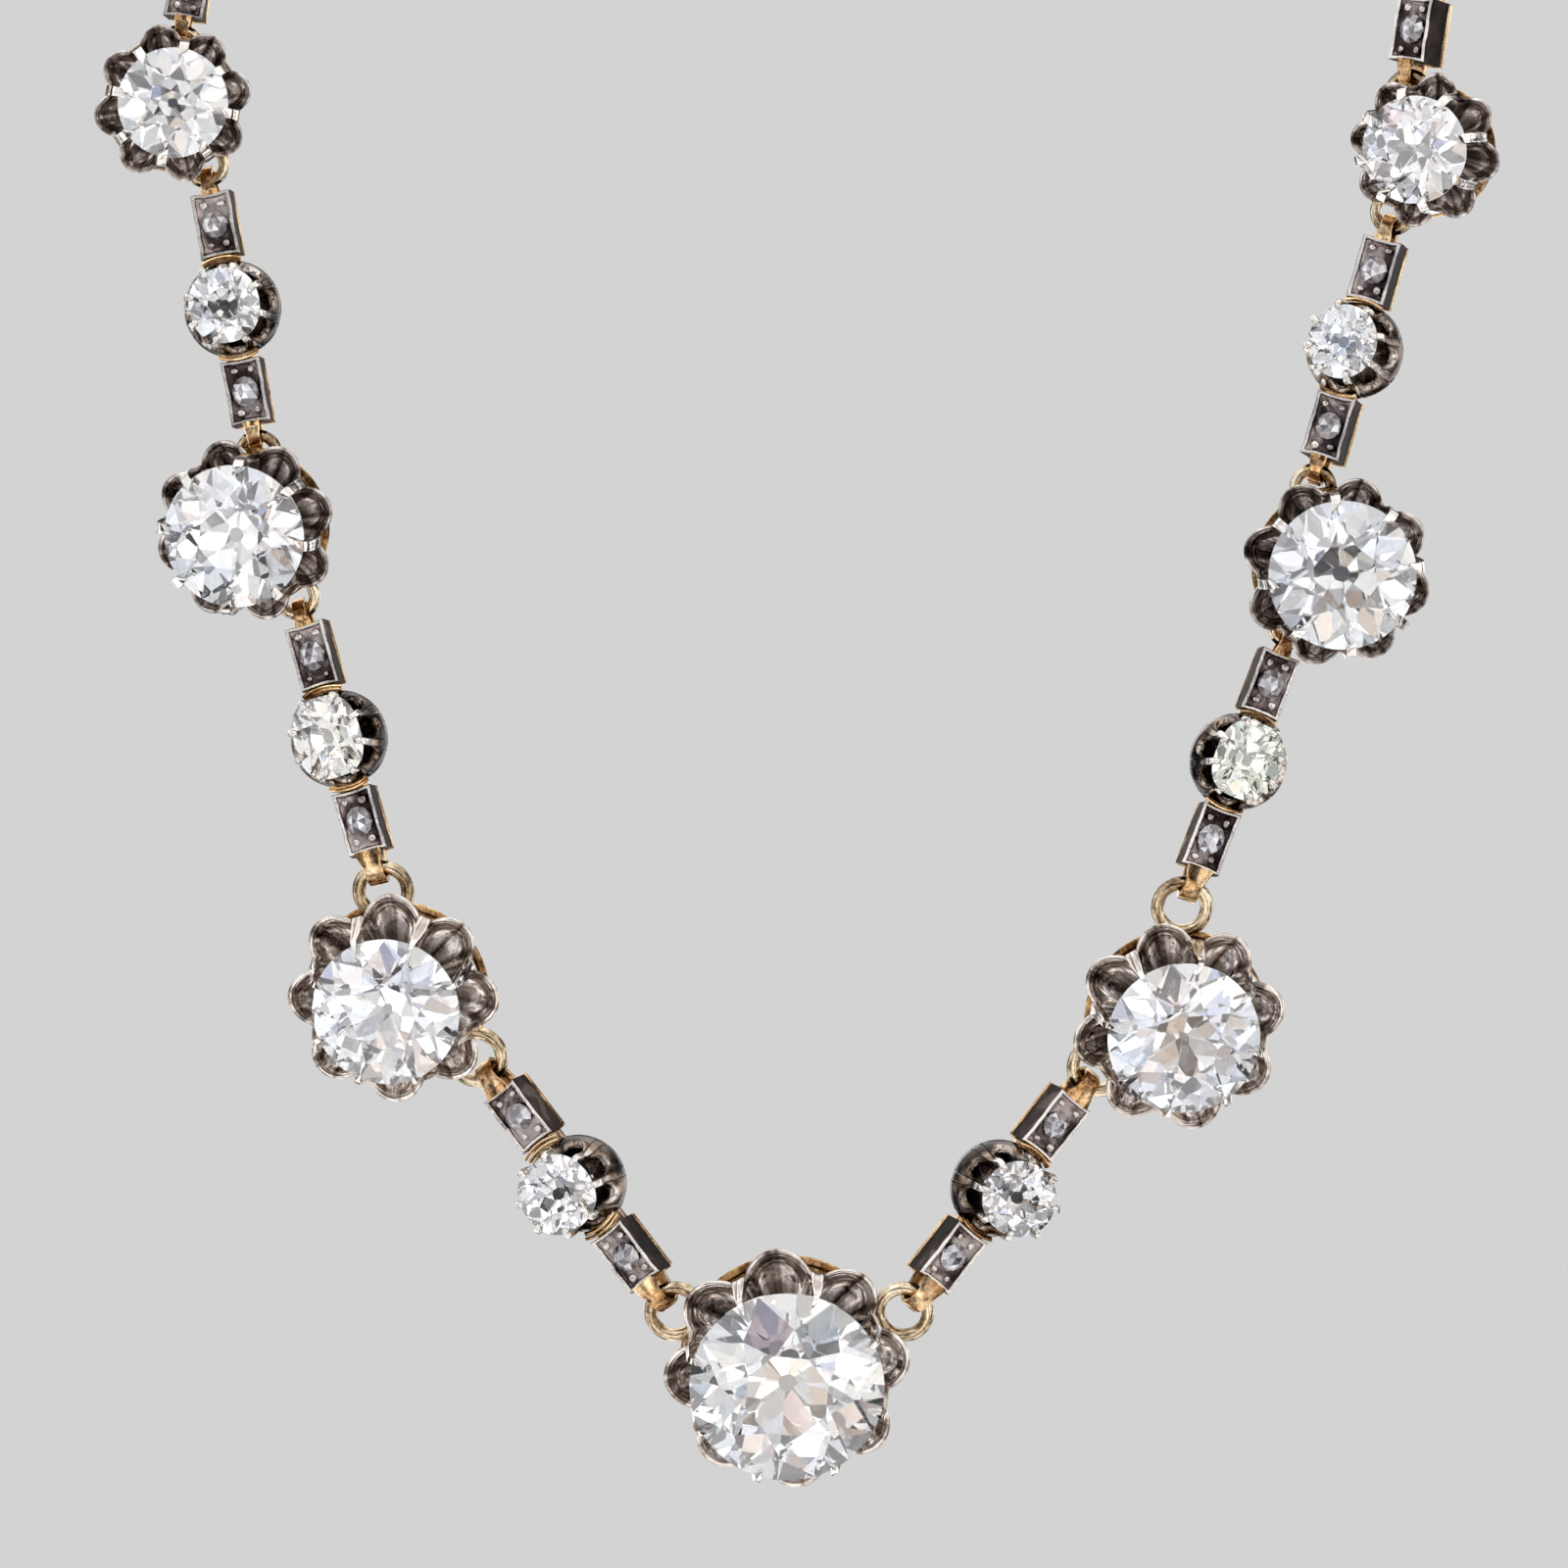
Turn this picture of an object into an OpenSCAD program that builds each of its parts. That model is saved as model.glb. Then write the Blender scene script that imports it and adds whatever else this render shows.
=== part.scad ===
// A riviere necklace of old cut stones: seven petal clusters joined by short set links, on a plain back chain.
// It hangs from the nape of the neck, where the origin is. The front faces -Y and up is +Z.
// Lengths are in millimetres.

/* [Clusters] */
// radius of the centre cluster over its petals
centre_petal_r = 5.17; // [4.6:0.01:5.8]
// thickness of a petal's wall
petal_wall = 0.35; // [0.3:0.01:0.45]
// width of a claw on a cluster
claw_w = 0.55; // [0.4:0.01:0.7]
// height of the stone's girdle over the petal rims, as a share of the petal radius
rim_drop = 0.54; // [0.5:0.01:0.6]
// gap between a stone and the metal that holds it
stone_gap = 0.05; // [0.03:0.01:0.1]

/* [Links] */
// length of a link over its two bars
link_l = 10.1; // [9.8:0.1:11.5]
// length of a bar
bar_l = 2.8; // [2.4:0.1:2.9]
// width of a bar
bar_w = 1.7; // [1.5:0.05:2]
// depth of a bar
bar_d = 2; // [1.7:0.05:2.4]
// radius of the round cup between the bars
cup_r = 2.1; // [1.95:0.05:2.2]
// radius of the small stone in the cup
small_stone_r = 1.6; // [1.4:0.05:1.75]
// height of the small stone's girdle over the bars
small_rise = 1.9; // [1.6:0.1:2.3]
// radius of the little stone in a bar
rose_r = 0.55; // [0.4:0.01:0.6]

/* [Rings and bails] */
// radius of a jump ring on the three lower clusters, to the middle of its wire
ring_r = 1.06; // [1.04:0.01:1.15]
// thickness of its wire
ring_wire = 0.58; // [0.45:0.01:0.6]
// radius of a jump ring on the upper clusters, to the middle of its wire
upper_ring_r = 0.78; // [0.76:0.01:0.85]
// thickness of its wire
upper_ring_wire = 0.5; // [0.4:0.01:0.52]
// thickness of the strip of a bail
bail_t = 0.2; // [0.16:0.01:0.24]
// gap between a ring and its bail
hook_gap = 0.15; // [0.12:0.01:0.17]

/* [Back chain] */
// outer length of a chain link
chain_link_l = 3; // [2.8:0.1:3.4]
// outer width of a chain link
chain_link_w = 2; // [1.9:0.05:2.2]
// thickness of the chain's wire
chain_wire = 0.45; // [0.36:0.01:0.48]
// length of the clasp's barrel
clasp_l = 7; // [5:0.5:10]
// radius of the clasp's barrel
clasp_r = 1.6; // [1.2:0.1:2.2]

/* [Neck] */
// half the width of the neck that the loop goes round
neck_half_w = 49; // [42:1:60]
// depth of the neck from the centre stone to the nape
neck_depth = 95; // [84:1:110]
// height of the nape over the centre stone
nape_rise = 113; // [104:1:124]

/* [Hidden] */
$fn = 40;
petal_at = 0.66; // middle of a petal's hollow, as a share of the petal radius
petal_hollow = 0.34; // radius of a petal's hollow, as a share of the petal radius
girdle_h = 0.05; // stones: thickness of the girdle, as a share of the radius
table_r = 0.45; // stones: radius of the table, as a share of the radius
star_r = 0.7; // stones: radius of the tips of the star facets
crown_h = 0.34; // stones: height of the crown
pavilion_h = 0.86; // stones: depth below the girdle
lower_r = 0.42; // stones: radius of the lower ends of the half facets
culet_r = 0.09; // stones: radius of the open culet
crown_slope = crown_h / (1 - table_r);
half_slope = crown_slope * (1 - star_r * cos(22.5)) / (1 - star_r); // the steeper slope under a claw's tip
cone_r = 0.88; // outer radius of the gold cone at its front edge, as a share of the petal radius
cone_wall = 0.08; // width of its front edge
cone_top = 0.25; // depth of its front edge behind the rims
cone_low_r = 0.62; // outer radius of its back edge
cone_low = 0.44; // depth of its back edge behind the rims
step = 0.05; // the fine step that the bends of claws and solder are built in
claw_t = 0.24; // thickness of a claw outside the girdle
claw_over = 0.3; // how far a claw's tip lies over the stone
small_claw_w = 0.32;
small_claw_t = 0.2;
small_claw_over = 0.18;
cup_wall = 0.35;
cup_back = 1; // depth of the cup's centre behind the front of the bars
cup_mouth = 1.25; // height of the cup's mouth over its centre
window_r = 0.52; // radius of the scallops in the cup's mouth
bar_front = 0.75; // height of the bars' front over the middle of the bails
bar_edge = 0.2; // width of the raised edge round a bar
bar_sink = 0.22; // depth of the floor inside the edge
grain_r = 0.15;
solder_w = 1.2; // width of the solder between a bar and the cup
solder_in = 0.2; // how far it lies inside the back of the bar
ring_back = 1.4; // depth of a lower ring behind the petal rims
upper_ring_back = 2; // depth of an upper ring behind the petal rims
bail_w = 0.8;
upper_bail_w = 0.55;
bail_h = 0.7; // half the inner depth of a bail
upper_bail_h = 0.6;
bail_reach = 0.69; // from the end of a bar to the middle of the ring's wire
upper_bail_reach = 0.5;
back_lean = 4; // the links lean back as they go up, and so make up for the nod of the clusters
chain_play = 0.12; // gap between two links of the chain
chain_lead = 12; // how far the chain goes on in line with the upper link
chain_pitch = chain_link_l - 2 * chain_wire - chain_play;
clasp_ring_r = 0.95;
clasp_wire = 0.5;
clasp_groove = 0.15;
clasp_taper = 0.9;

// side 0 is the wearer's right, which is the left of the picture, and side 1 the other
// each row is one cluster up from the centre
// columns: petal radius as a share of the centre's, stone radius as a share of the petals',
// turn of the claws, yaw, nod
clusters = [
  [[1, 0.797, 17, 0, 16.5], [0.862, 0.705, 23, -8, 14], [0.748, 0.783, 7, -13, 8], [0.638, 0.708, 11, 1, 0]],
  [[1, 0.797, 17, 0, 16.5], [0.862, 0.726, 11, 5, 13], [0.772, 0.79, -6.5, 6, 5], [0.626, 0.705, -11, -16, 0]]];
// columns: lean from upright, roll, length share, ring turn and ring reach on the cluster below,
// the same on the cluster above, width and length of the small stone as shares of small_stone_r
links = [
  [[-37.5, -20, 1.03, -66.5, 1.01, 132, 1, 1.05, 1.04], [-16, -9, 1.01, -6.5, 0.987, 152, 0.926, 0.9, 1.09],
   [-10.3, -6, 1, 4, 0.787, 151, 0.895, 0.94, 1], [8, -5, 1, 8, 0.728, 0, 0, 0.92, 1]],
  [[38, 19, 0.99, 67.5, 1.047, -123, 0.885, 1.04, 1], [21, 7, 0.985, 2, 1.096, -146, 0.767, 0.89, 1.04],
   [16.3, -12.5, 0.97, -13.4, 0.885, -143, 1.011, 0.92, 0.99], [9, -28, 1, -27, 0.869, 0, 0, 0.92, 1]]];
// columns: width, depth and height of the chain's guide points, as shares of the neck's width,
// its depth and the nape's height
neck_route = [[1.06, 0.24, 0.82], [1.02, 0.5, 0.895], [0.98, 0.76, 0.965], [0.5, 1, 1]];

// turning and placing
function turn_x(a) = [[1, 0, 0], [0, cos(a), -sin(a)], [0, sin(a), cos(a)]];
function turn_y(a) = [[cos(a), 0, sin(a)], [0, 1, 0], [-sin(a), 0, cos(a)]];
function turn_z(a) = [[cos(a), -sin(a), 0], [sin(a), cos(a), 0], [0, 0, 1]];
function unit(v) = v / norm(v);
function across(v, n) = unit(v - (v * n) * n);
function frame(m, p) = [for (i = [0:2]) [m[i][0], m[i][1], m[i][2], p[i]]];

// the clusters and links one after another up each side, from the centre stone at zero
function petal_r(s, k) = centre_petal_r * clusters[s][k][0];
function stone_r(s, k) = petal_r(s, k) * clusters[s][k][1];
function rim_z(s, k) = -rim_drop * petal_r(s, k);
function ring_size(k) = k < 2 ? ring_r : upper_ring_r;
function wire_size(k) = k < 2 ? ring_wire : upper_ring_wire;
function reach_size(k) = k < 2 ? bail_reach : upper_bail_reach;
function ring_z(s, k) = rim_z(s, k) - (k < 2 ? ring_back : upper_ring_back);
function face(s, k) = turn_z(clusters[s][k][3]) * turn_x(90 + clusters[s][k][4]);
function facing(s, k) = face(s, k) * [0, 0, 1];
function ring_in(s, k, turn, reach) =
  [reach * petal_r(s, k) * sin(turn), reach * petal_r(s, k) * cos(turn), ring_z(s, k)];
function lean(s, k) = links[s][k - 1][0];
function link_face(s, k) = turn_y(lean(s, k)) * turn_x(90 - back_lean) * turn_y(links[s][k - 1][1]);
function along(s, k) = link_face(s, k) * [0, 1, 0];
function link_size(s, k) = link_l * links[s][k - 1][2];
function lower_hook(s, k) = cluster_at(s, k - 1)
  + face(s, k - 1) * ring_in(s, k - 1, links[s][k - 1][3], links[s][k - 1][4])
  + ring_size(k - 1) * across(along(s, k), facing(s, k - 1));
function link_at(s, k) = lower_hook(s, k) + along(s, k) * (reach_size(k - 1) + link_size(s, k) / 2);
function upper_hook(s, k) = link_at(s, k) + along(s, k) * (link_size(s, k) / 2 + reach_size(k));
function cluster_at(s, k) = k == 0 ? [0, 0, 0] : upper_hook(s, k)
  + ring_size(k) * across(along(s, k), facing(s, k))
  - face(s, k) * ring_in(s, k, links[s][k - 1][5], links[s][k - 1][6]);
nape = [0, neck_depth, nape_rise];

module hang(m, p) {
  multmatrix(frame(m, p - nape + [0, clasp_r, 0])) children();
}

// a cut stone with its girdle at zero: table, star, main and half facets above,
// half and main facets and an open culet below
function belt(r, z, turn, n) =
  [for (i = [0:n - 1]) [r * sin(360 / n * i + turn), r * cos(360 / n * i + turn), z]];
function below(r) =
  -girdle_h / 2 - (pavilion_h - girdle_h / 2) * (1 - r * cos(22.5)) / (1 - culet_r * cos(22.5));
module cut_stone(w, l) {
  top = crown_h + girdle_h / 2;
  star_z = girdle_h / 2 + crown_slope * (1 - star_r * cos(22.5));
  pts = concat(belt(table_r, top, 0, 8), belt(star_r, star_z, 22.5, 8), belt(1, girdle_h / 2, 0, 16),
    belt(1, -girdle_h / 2, 0, 16), belt(lower_r, below(lower_r), 22.5, 8), belt(culet_r, -pavilion_h, 22.5, 8));
  sides = [for (k = [0:7]) let (n = (k + 1) % 8, g = 16 + 2 * k, h = 16 + 2 * n, p = (k + 7) % 8) each [
    [k, 8 + k, n], [k, 8 + p, g], [k, g, 8 + k], [8 + k, g, g + 1], [8 + k, g + 1, h],
    [g, g + 16, g + 17, g + 1], [g + 1, g + 17, h + 16, h],
    [g + 16, 48 + k, g + 17], [g + 17, 48 + k, h + 16],
    [g + 16, 48 + p, 56 + p], [g + 16, 56 + p, 56 + k], [g + 16, 56 + k, 48 + k]]];
  size = (w + l) / 2;
  all = concat([[for (k = [0:7]) k]], sides, [[for (k = [7:-1:0]) 56 + k]]);
  polyhedron(points = [for (q = pts) [q[0] * w, q[1] * l, q[2] * size]],
    faces = [for (f = all) [for (i = [len(f) - 1:-1:0]) f[i]]]);
}

// a low rose stone for a bar, flat at its back
module rose() {
  pts = concat(belt(rose_r, 0, 0, 8), belt(rose_r * 0.5, rose_r * 0.6, 22.5, 8));
  sides = [for (k = [0:7]) each [[k, (k + 1) % 8, 8 + k], [8 + k, (k + 1) % 8, 8 + (k + 1) % 8]]];
  polyhedron(points = pts, faces = concat([[for (k = [7:-1:0]) k]], [[for (k = [0:7]) 8 + k]], sides));
}

// a claw in its own upright plane: outward is x, the girdle is at zero
module claw(foot, r, w, t, over) {
  rise = over * half_slope + r * girdle_h / 2 + 1.3 * stone_gap;
  rotate([90, 0, 0]) translate([0, 0, -w / 2]) linear_extrude(w)
    polygon(concat(foot, [[r + t, -6 * step], [r + t, 5 * step], [r - step, rise + 4 * step],
      [r - over - 0.8 * step, rise + 4 * step], [r - over, rise], [r + stone_gap, 3 * step],
      [r + stone_gap, -3 * step], [r - 2 * step, -8 * step]]));
}

module jump_ring(r, wire) {
  rotate_extrude() translate([r, 0]) circle(wire / 2);
}

// eight petal bowls, eight claws rising from between them, a cone at the back and its rings, as one piece
module cluster_metal(s, k, rings) {
  rp = petal_r(s, k);
  rim = rim_z(s, k);
  bowl_z = rim + 0.03 * rp;
  rotate([0, 0, -clusters[s][k][2]]) {
    difference() {
      intersection() {
        union() {
          for (i = [0:7])
            rotate([0, 0, 45 * i + 112.5]) translate([petal_at * rp, 0, bowl_z]) sphere(petal_hollow * rp);
        }
        translate([0, 0, rim - rp]) cylinder(h = rp, r = 1.2 * rp);
      }
      for (i = [0:7]) rotate([0, 0, 45 * i + 112.5]) translate([petal_at * rp, 0, bowl_z])
        sphere(petal_hollow * rp - petal_wall);
    }
    for (i = [0:7]) rotate([0, 0, 45 * i + 90])
      claw([[0.58 * rp, rim + 0.12 * rp], [0.48 * rp, rim - 0.02 * rp], [0.48 * rp, rim - 0.27 * rp],
        [0.7 * rp, rim - 0.27 * rp], [0.85 * rp, rim - 0.06 * rp], [0.85 * rp, rim + 0.08 * rp]],
        stone_r(s, k), claw_w, claw_t, claw_over);
  }
  rotate_extrude() translate([0, rim]) polygon([
    [(cone_r - cone_wall) * rp, -cone_top * rp], [cone_r * rp, -cone_top * rp],
    [cone_low_r * rp, -cone_low * rp], [(cone_low_r - cone_wall) * rp, -cone_low * rp]]);
  for (g = rings) {
    translate(ring_in(s, k, g[0], g[1])) jump_ring(ring_size(k), wire_size(k));
    // the upper rings lie behind the cone and reach it through a block of solder
    near = g[1] * rp - ring_size(k);
    low = ring_z(s, k) - 3 * step;
    start = min(0.52 * rp, near - 2 * step);
    if (k > 1) rotate([0, 0, -g[0]]) translate([-5 * step, start, low])
      cube([10 * step, max(0.6 * rp, near + 2 * step) - start, rim - 0.36 * rp - low]);
  }
}

module setting(s, k) {
  below_turn = k == 0 ? links[1][0][3] : links[s][k - 1][5];
  below_reach = k == 0 ? links[1][0][4] : links[s][k - 1][6];
  hang(face(s, k), cluster_at(s, k))
    cluster_metal(s, k, [[below_turn, below_reach], [links[s][k][3], links[s][k][4]]]);
}

module main_stone(s, k) {
  hang(face(s, k), cluster_at(s, k)) rotate([0, 0, -clusters[s][k][2] - 22.5])
    cut_stone(stone_r(s, k), stone_r(s, k));
}

// the strip that holds a ring, seen from its side: y is along the link from the bar's end
module bail(k) {
  h = k < 2 ? bail_h : upper_bail_h;
  w = k < 2 ? bail_w : upper_bail_w;
  hole = ring_size(k) - wire_size(k) / 2;
  far = wire_size(k) / 2 + hole - sqrt(hole * hole - w * w / 4) + hook_gap;
  bend = reach_size(k) + far - h;
  rotate([90, 0, 90]) translate([0, 0, -w / 2]) linear_extrude(w) difference() {
    union() {
      translate([-6 * step, -h - bail_t]) square([bend + 6 * step, 2 * (h + bail_t)]);
      translate([bend, 0]) circle(h + bail_t);
    }
    translate([bail_t, -h]) square([max(bend - bail_t, step / 5), 2 * h]);
    translate([bend, 0]) difference() {
      circle(h);
      translate([-2 * h, -h]) square([2 * h + bail_t - bend, 2 * h]);
    }
  }
}

module bar() {
  difference() {
    translate([-bar_w / 2, -bar_l, bar_front - bar_d]) cube([bar_w, bar_l, bar_d]);
    translate([-bar_w / 2 + bar_edge, -bar_l + bar_edge, bar_front - bar_sink])
      cube([bar_w - 2 * bar_edge, bar_l - 2 * bar_edge, bar_sink + 1]);
  }
  for (x = [-1, 1], y = [-1, 1])
    translate([x * 2.4 * grain_r, -bar_l / 2 + y * (rose_r + stone_gap + 1.4 * grain_r),
      bar_front - bar_sink + grain_r / 5])
      sphere(grain_r);
  translate([-solder_w / 2, -bar_l - 10 * step, bar_front - bar_d + solder_in])
    cube([solder_w, 12 * step, bar_d - 3 * solder_in]);
}

function small_r(s, k, a) = let (w = small_stone_r * links[s][k - 1][7], l = small_stone_r * links[s][k - 1][8])
  w * l / sqrt(pow(l * cos(a), 2) + pow(w * sin(a), 2));

// two bars, the round cup between them with its scalloped mouth and claws, and a bail at each end, as one piece
module link_metal(s, k) {
  half = link_size(s, k) / 2;
  cup_z = bar_front - cup_back;
  up = bar_front + small_rise;
  translate([0, 0, cup_z]) difference() {
    intersection() {
      sphere(cup_r);
      translate([0, 0, cup_mouth - 3 * cup_r]) cylinder(h = 3 * cup_r, r = 2 * cup_r);
    }
    sphere(cup_r - cup_wall);
    for (i = [0:7])
      rotate([0, 0, 45 * i]) translate([0, 0, cup_mouth + 1.6 * step]) rotate([0, 90, 0])
        cylinder(h = 2 * cup_r, r = window_r);
  }
  for (i = [0:7]) let (a = 45 * i + 22.5, r = small_r(s, k, a)) rotate([0, 0, a]) translate([0, 0, up])
    claw([[cup_r - 12 * step, cup_z + cup_mouth - up - 2 * step],
      [cup_r - 9.6 * step, cup_z + cup_mouth - up - 10 * step],
      [cup_r - 4 * step, cup_z + cup_mouth - up - 10 * step], [cup_r - 5.6 * step, cup_z + cup_mouth - up]],
      r, small_claw_w, small_claw_t, small_claw_over);
  for (e = [0, 180]) rotate([0, 0, e]) {
    translate([0, half, 0]) bar();
    translate([-solder_w / 2, cup_r - solder_in, bar_front - bar_d + solder_in])
      cube([solder_w, half - bar_l - cup_r + 6 * step, bar_d - 3 * solder_in]);
    translate([0, half, 0]) bail(e == 0 ? k : k - 1);
  }
}

module link(s, k) {
  hang(link_face(s, k), link_at(s, k)) link_metal(s, k);
}

module small_stone(s, k) {
  hang(link_face(s, k), link_at(s, k)) translate([0, 0, bar_front + small_rise])
    cut_stone(small_stone_r * links[s][k - 1][7], small_stone_r * links[s][k - 1][8]);
}

module roses(s, k) {
  hang(link_face(s, k), link_at(s, k))
    for (e = [-1, 1])
      translate([0, e * (link_size(s, k) - bar_l) / 2, bar_front - bar_sink + stone_gap]) rose();
}

// the chain's way from the upper link round the neck to the clasp, as two smooth stretches
function smooth(a, b, c, d, t) =
  a * pow(1 - t, 3) + b * 3 * t * pow(1 - t, 2) + c * 3 * t * t * (1 - t) + d * t * t * t;
function guide(s, i) =
  [(s == 0 ? -1 : 1) * neck_route[i][0] * neck_half_w, neck_route[i][1] * neck_depth,
    neck_route[i][2] * nape_rise];
clasp_reach = clasp_l / 2 + clasp_ring_r + 7 * step;
function chain_end(s) =
  nape + [(s == 0 ? -1 : 1) * (clasp_reach - chain_wire / 2 - clasp_wire / 2 - chain_play), 0, 0];
function chain_way(s) = concat(
  [for (i = [0:39])
    smooth(upper_hook(s, 4), upper_hook(s, 4) + chain_lead * along(s, 4), guide(s, 0), guide(s, 1), i / 40)],
  [for (i = [0:40]) smooth(guide(s, 1), 2 * guide(s, 1) - guide(s, 0), guide(s, 3), chain_end(s), i / 40)]);
function run(p) = [for (i = 0, d = 0; i < len(p); d = d + norm(p[min(i + 1, len(p) - 1)] - p[i]), i = i + 1) d];

module chain_link() {
  bend = (chain_link_w - chain_wire) / 2;
  half = chain_link_l / 2 - chain_link_w / 2;
  for (e = [0, 180]) rotate([0, 0, e]) {
    translate([0, half, 0]) rotate_extrude(angle = 180) translate([bend, 0]) circle(chain_wire / 2);
    translate([bend, half, 0]) rotate([90, 0, 0]) cylinder(h = 2 * half, r = chain_wire / 2);
  }
}

module back_chain(s) {
  way = chain_way(s);
  dist = run(way);
  end = chain_link_l / 2 - chain_wire / 2;
  span = dist[len(dist) - 1] - 2 * end;
  count = 2 * ceil((span / chain_pitch + 1) / 2);
  spots = [for (c = [0:2]) [for (i = [0:len(way) - 1]) [dist[i], way[i][c]]]];
  for (i = [0:count - 1]) {
    d = end + i * span / (count - 1);
    at = [for (c = [0:2]) lookup(d, spots[c])];
    t = unit([for (c = [0:2]) lookup(d + 2 * chain_wire, spots[c]) - lookup(d - 2 * chain_wire, spots[c])]);
    yaw = links[s][3][1] + ((s == 0 ? -180 : 180) - links[s][3][1]) * i / (count - 1);
    n = across([sin(yaw), -cos(yaw), 0], t);
    w = cross(t, n);
    hang([for (c = [0:2]) [w[c], t[c], n[c]]], at) rotate([0, 90 * (i % 2), 0]) chain_link();
  }
}

module clasp_metal() {
  rotate([0, 90, 0]) rotate_extrude() polygon([[0, -clasp_l / 2], [clasp_r * 0.5, -clasp_l / 2],
    [clasp_r, -clasp_l / 2 + clasp_taper], [clasp_r, -clasp_groove], [clasp_r - clasp_groove, 0],
    [clasp_r, clasp_groove],
    [clasp_r, clasp_l / 2 - clasp_taper], [clasp_r * 0.5, clasp_l / 2], [0, clasp_l / 2]]);
  for (e = [-1, 1]) {
    translate([e * (clasp_reach - clasp_ring_r), 0, 0]) rotate([90, 0, 0]) jump_ring(clasp_ring_r, clasp_wire);
  }
}

module centre_setting() { color("dimgray") setting(0, 0); }
module left_1_setting() { color("dimgray") setting(0, 1); }
module left_2_setting() { color("dimgray") setting(0, 2); }
module left_3_setting() { color("dimgray") setting(0, 3); }
module right_1_setting() { color("dimgray") setting(1, 1); }
module right_2_setting() { color("dimgray") setting(1, 2); }
module right_3_setting() { color("dimgray") setting(1, 3); }
module centre_stone() { color("azure") main_stone(0, 0); }
module left_1_stone() { color("azure") main_stone(0, 1); }
module left_2_stone() { color("azure") main_stone(0, 2); }
module left_3_stone() { color("azure") main_stone(0, 3); }
module right_1_stone() { color("azure") main_stone(1, 1); }
module right_2_stone() { color("azure") main_stone(1, 2); }
module right_3_stone() { color("azure") main_stone(1, 3); }
module left_link_1() { color("silver") link(0, 1); }
module left_link_2() { color("silver") link(0, 2); }
module left_link_3() { color("silver") link(0, 3); }
module left_link_4() { color("silver") link(0, 4); }
module right_link_1() { color("silver") link(1, 1); }
module right_link_2() { color("silver") link(1, 2); }
module right_link_3() { color("silver") link(1, 3); }
module right_link_4() { color("silver") link(1, 4); }
module left_small_stone_1() { color("azure") small_stone(0, 1); }
module left_small_stone_2() { color("azure") small_stone(0, 2); }
module left_small_stone_3() { color("azure") small_stone(0, 3); }
module left_small_stone_4() { color("azure") small_stone(0, 4); }
module right_small_stone_1() { color("azure") small_stone(1, 1); }
module right_small_stone_2() { color("ivory") small_stone(1, 2); }
module right_small_stone_3() { color("azure") small_stone(1, 3); }
module right_small_stone_4() { color("azure") small_stone(1, 4); }
module left_roses_1() { color("lightsteelblue") roses(0, 1); }
module left_roses_2() { color("lightsteelblue") roses(0, 2); }
module left_roses_3() { color("lightsteelblue") roses(0, 3); }
module left_roses_4() { color("lightsteelblue") roses(0, 4); }
module right_roses_1() { color("lightsteelblue") roses(1, 1); }
module right_roses_2() { color("lightsteelblue") roses(1, 2); }
module right_roses_3() { color("lightsteelblue") roses(1, 3); }
module right_roses_4() { color("lightsteelblue") roses(1, 4); }
module left_back_chain() { color("goldenrod") back_chain(0); }
module right_back_chain() { color("goldenrod") back_chain(1); }
module clasp() { color("goldenrod") hang([[1, 0, 0], [0, 1, 0], [0, 0, 1]], nape) clasp_metal(); }

centre_setting();
left_1_setting();
left_2_setting();
left_3_setting();
right_1_setting();
right_2_setting();
right_3_setting();
centre_stone();
left_1_stone();
left_2_stone();
left_3_stone();
right_1_stone();
right_2_stone();
right_3_stone();
left_link_1();
left_link_2();
left_link_3();
left_link_4();
right_link_1();
right_link_2();
right_link_3();
right_link_4();
left_small_stone_1();
left_small_stone_2();
left_small_stone_3();
left_small_stone_4();
right_small_stone_1();
right_small_stone_2();
right_small_stone_3();
right_small_stone_4();
left_roses_1();
left_roses_2();
left_roses_3();
left_roses_4();
right_roses_1();
right_roses_2();
right_roses_3();
right_roses_4();
left_back_chain();
right_back_chain();
clasp();
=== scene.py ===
import bmesh
import bpy
import random
from math import asin, cos, pi, radians, sin, sqrt
from mathutils import Matrix, Vector, noise


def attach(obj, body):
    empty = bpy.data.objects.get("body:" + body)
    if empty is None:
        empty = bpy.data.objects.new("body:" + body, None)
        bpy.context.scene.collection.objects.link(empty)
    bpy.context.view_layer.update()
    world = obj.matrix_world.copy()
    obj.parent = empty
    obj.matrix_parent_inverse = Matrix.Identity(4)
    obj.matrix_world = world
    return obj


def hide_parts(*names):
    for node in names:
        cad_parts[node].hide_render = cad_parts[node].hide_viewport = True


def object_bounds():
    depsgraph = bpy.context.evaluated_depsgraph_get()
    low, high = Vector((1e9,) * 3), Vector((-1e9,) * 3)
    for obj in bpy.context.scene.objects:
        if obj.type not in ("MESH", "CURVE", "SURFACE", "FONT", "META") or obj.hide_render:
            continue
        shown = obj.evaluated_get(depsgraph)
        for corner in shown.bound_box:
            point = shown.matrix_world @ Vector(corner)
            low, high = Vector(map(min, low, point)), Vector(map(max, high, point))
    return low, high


# A riviere necklace of old cut stones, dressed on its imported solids.
# Shapes are made in millimetres and placed in metres.
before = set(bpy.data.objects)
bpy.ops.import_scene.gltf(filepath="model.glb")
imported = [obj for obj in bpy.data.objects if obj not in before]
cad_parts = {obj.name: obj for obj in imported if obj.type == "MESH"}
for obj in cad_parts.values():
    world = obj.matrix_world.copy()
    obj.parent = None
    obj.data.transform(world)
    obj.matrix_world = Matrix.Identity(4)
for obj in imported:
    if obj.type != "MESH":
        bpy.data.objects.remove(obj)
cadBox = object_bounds()
mm = 0.001
print("frame loaded:", len(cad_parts), "nodes")

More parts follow.
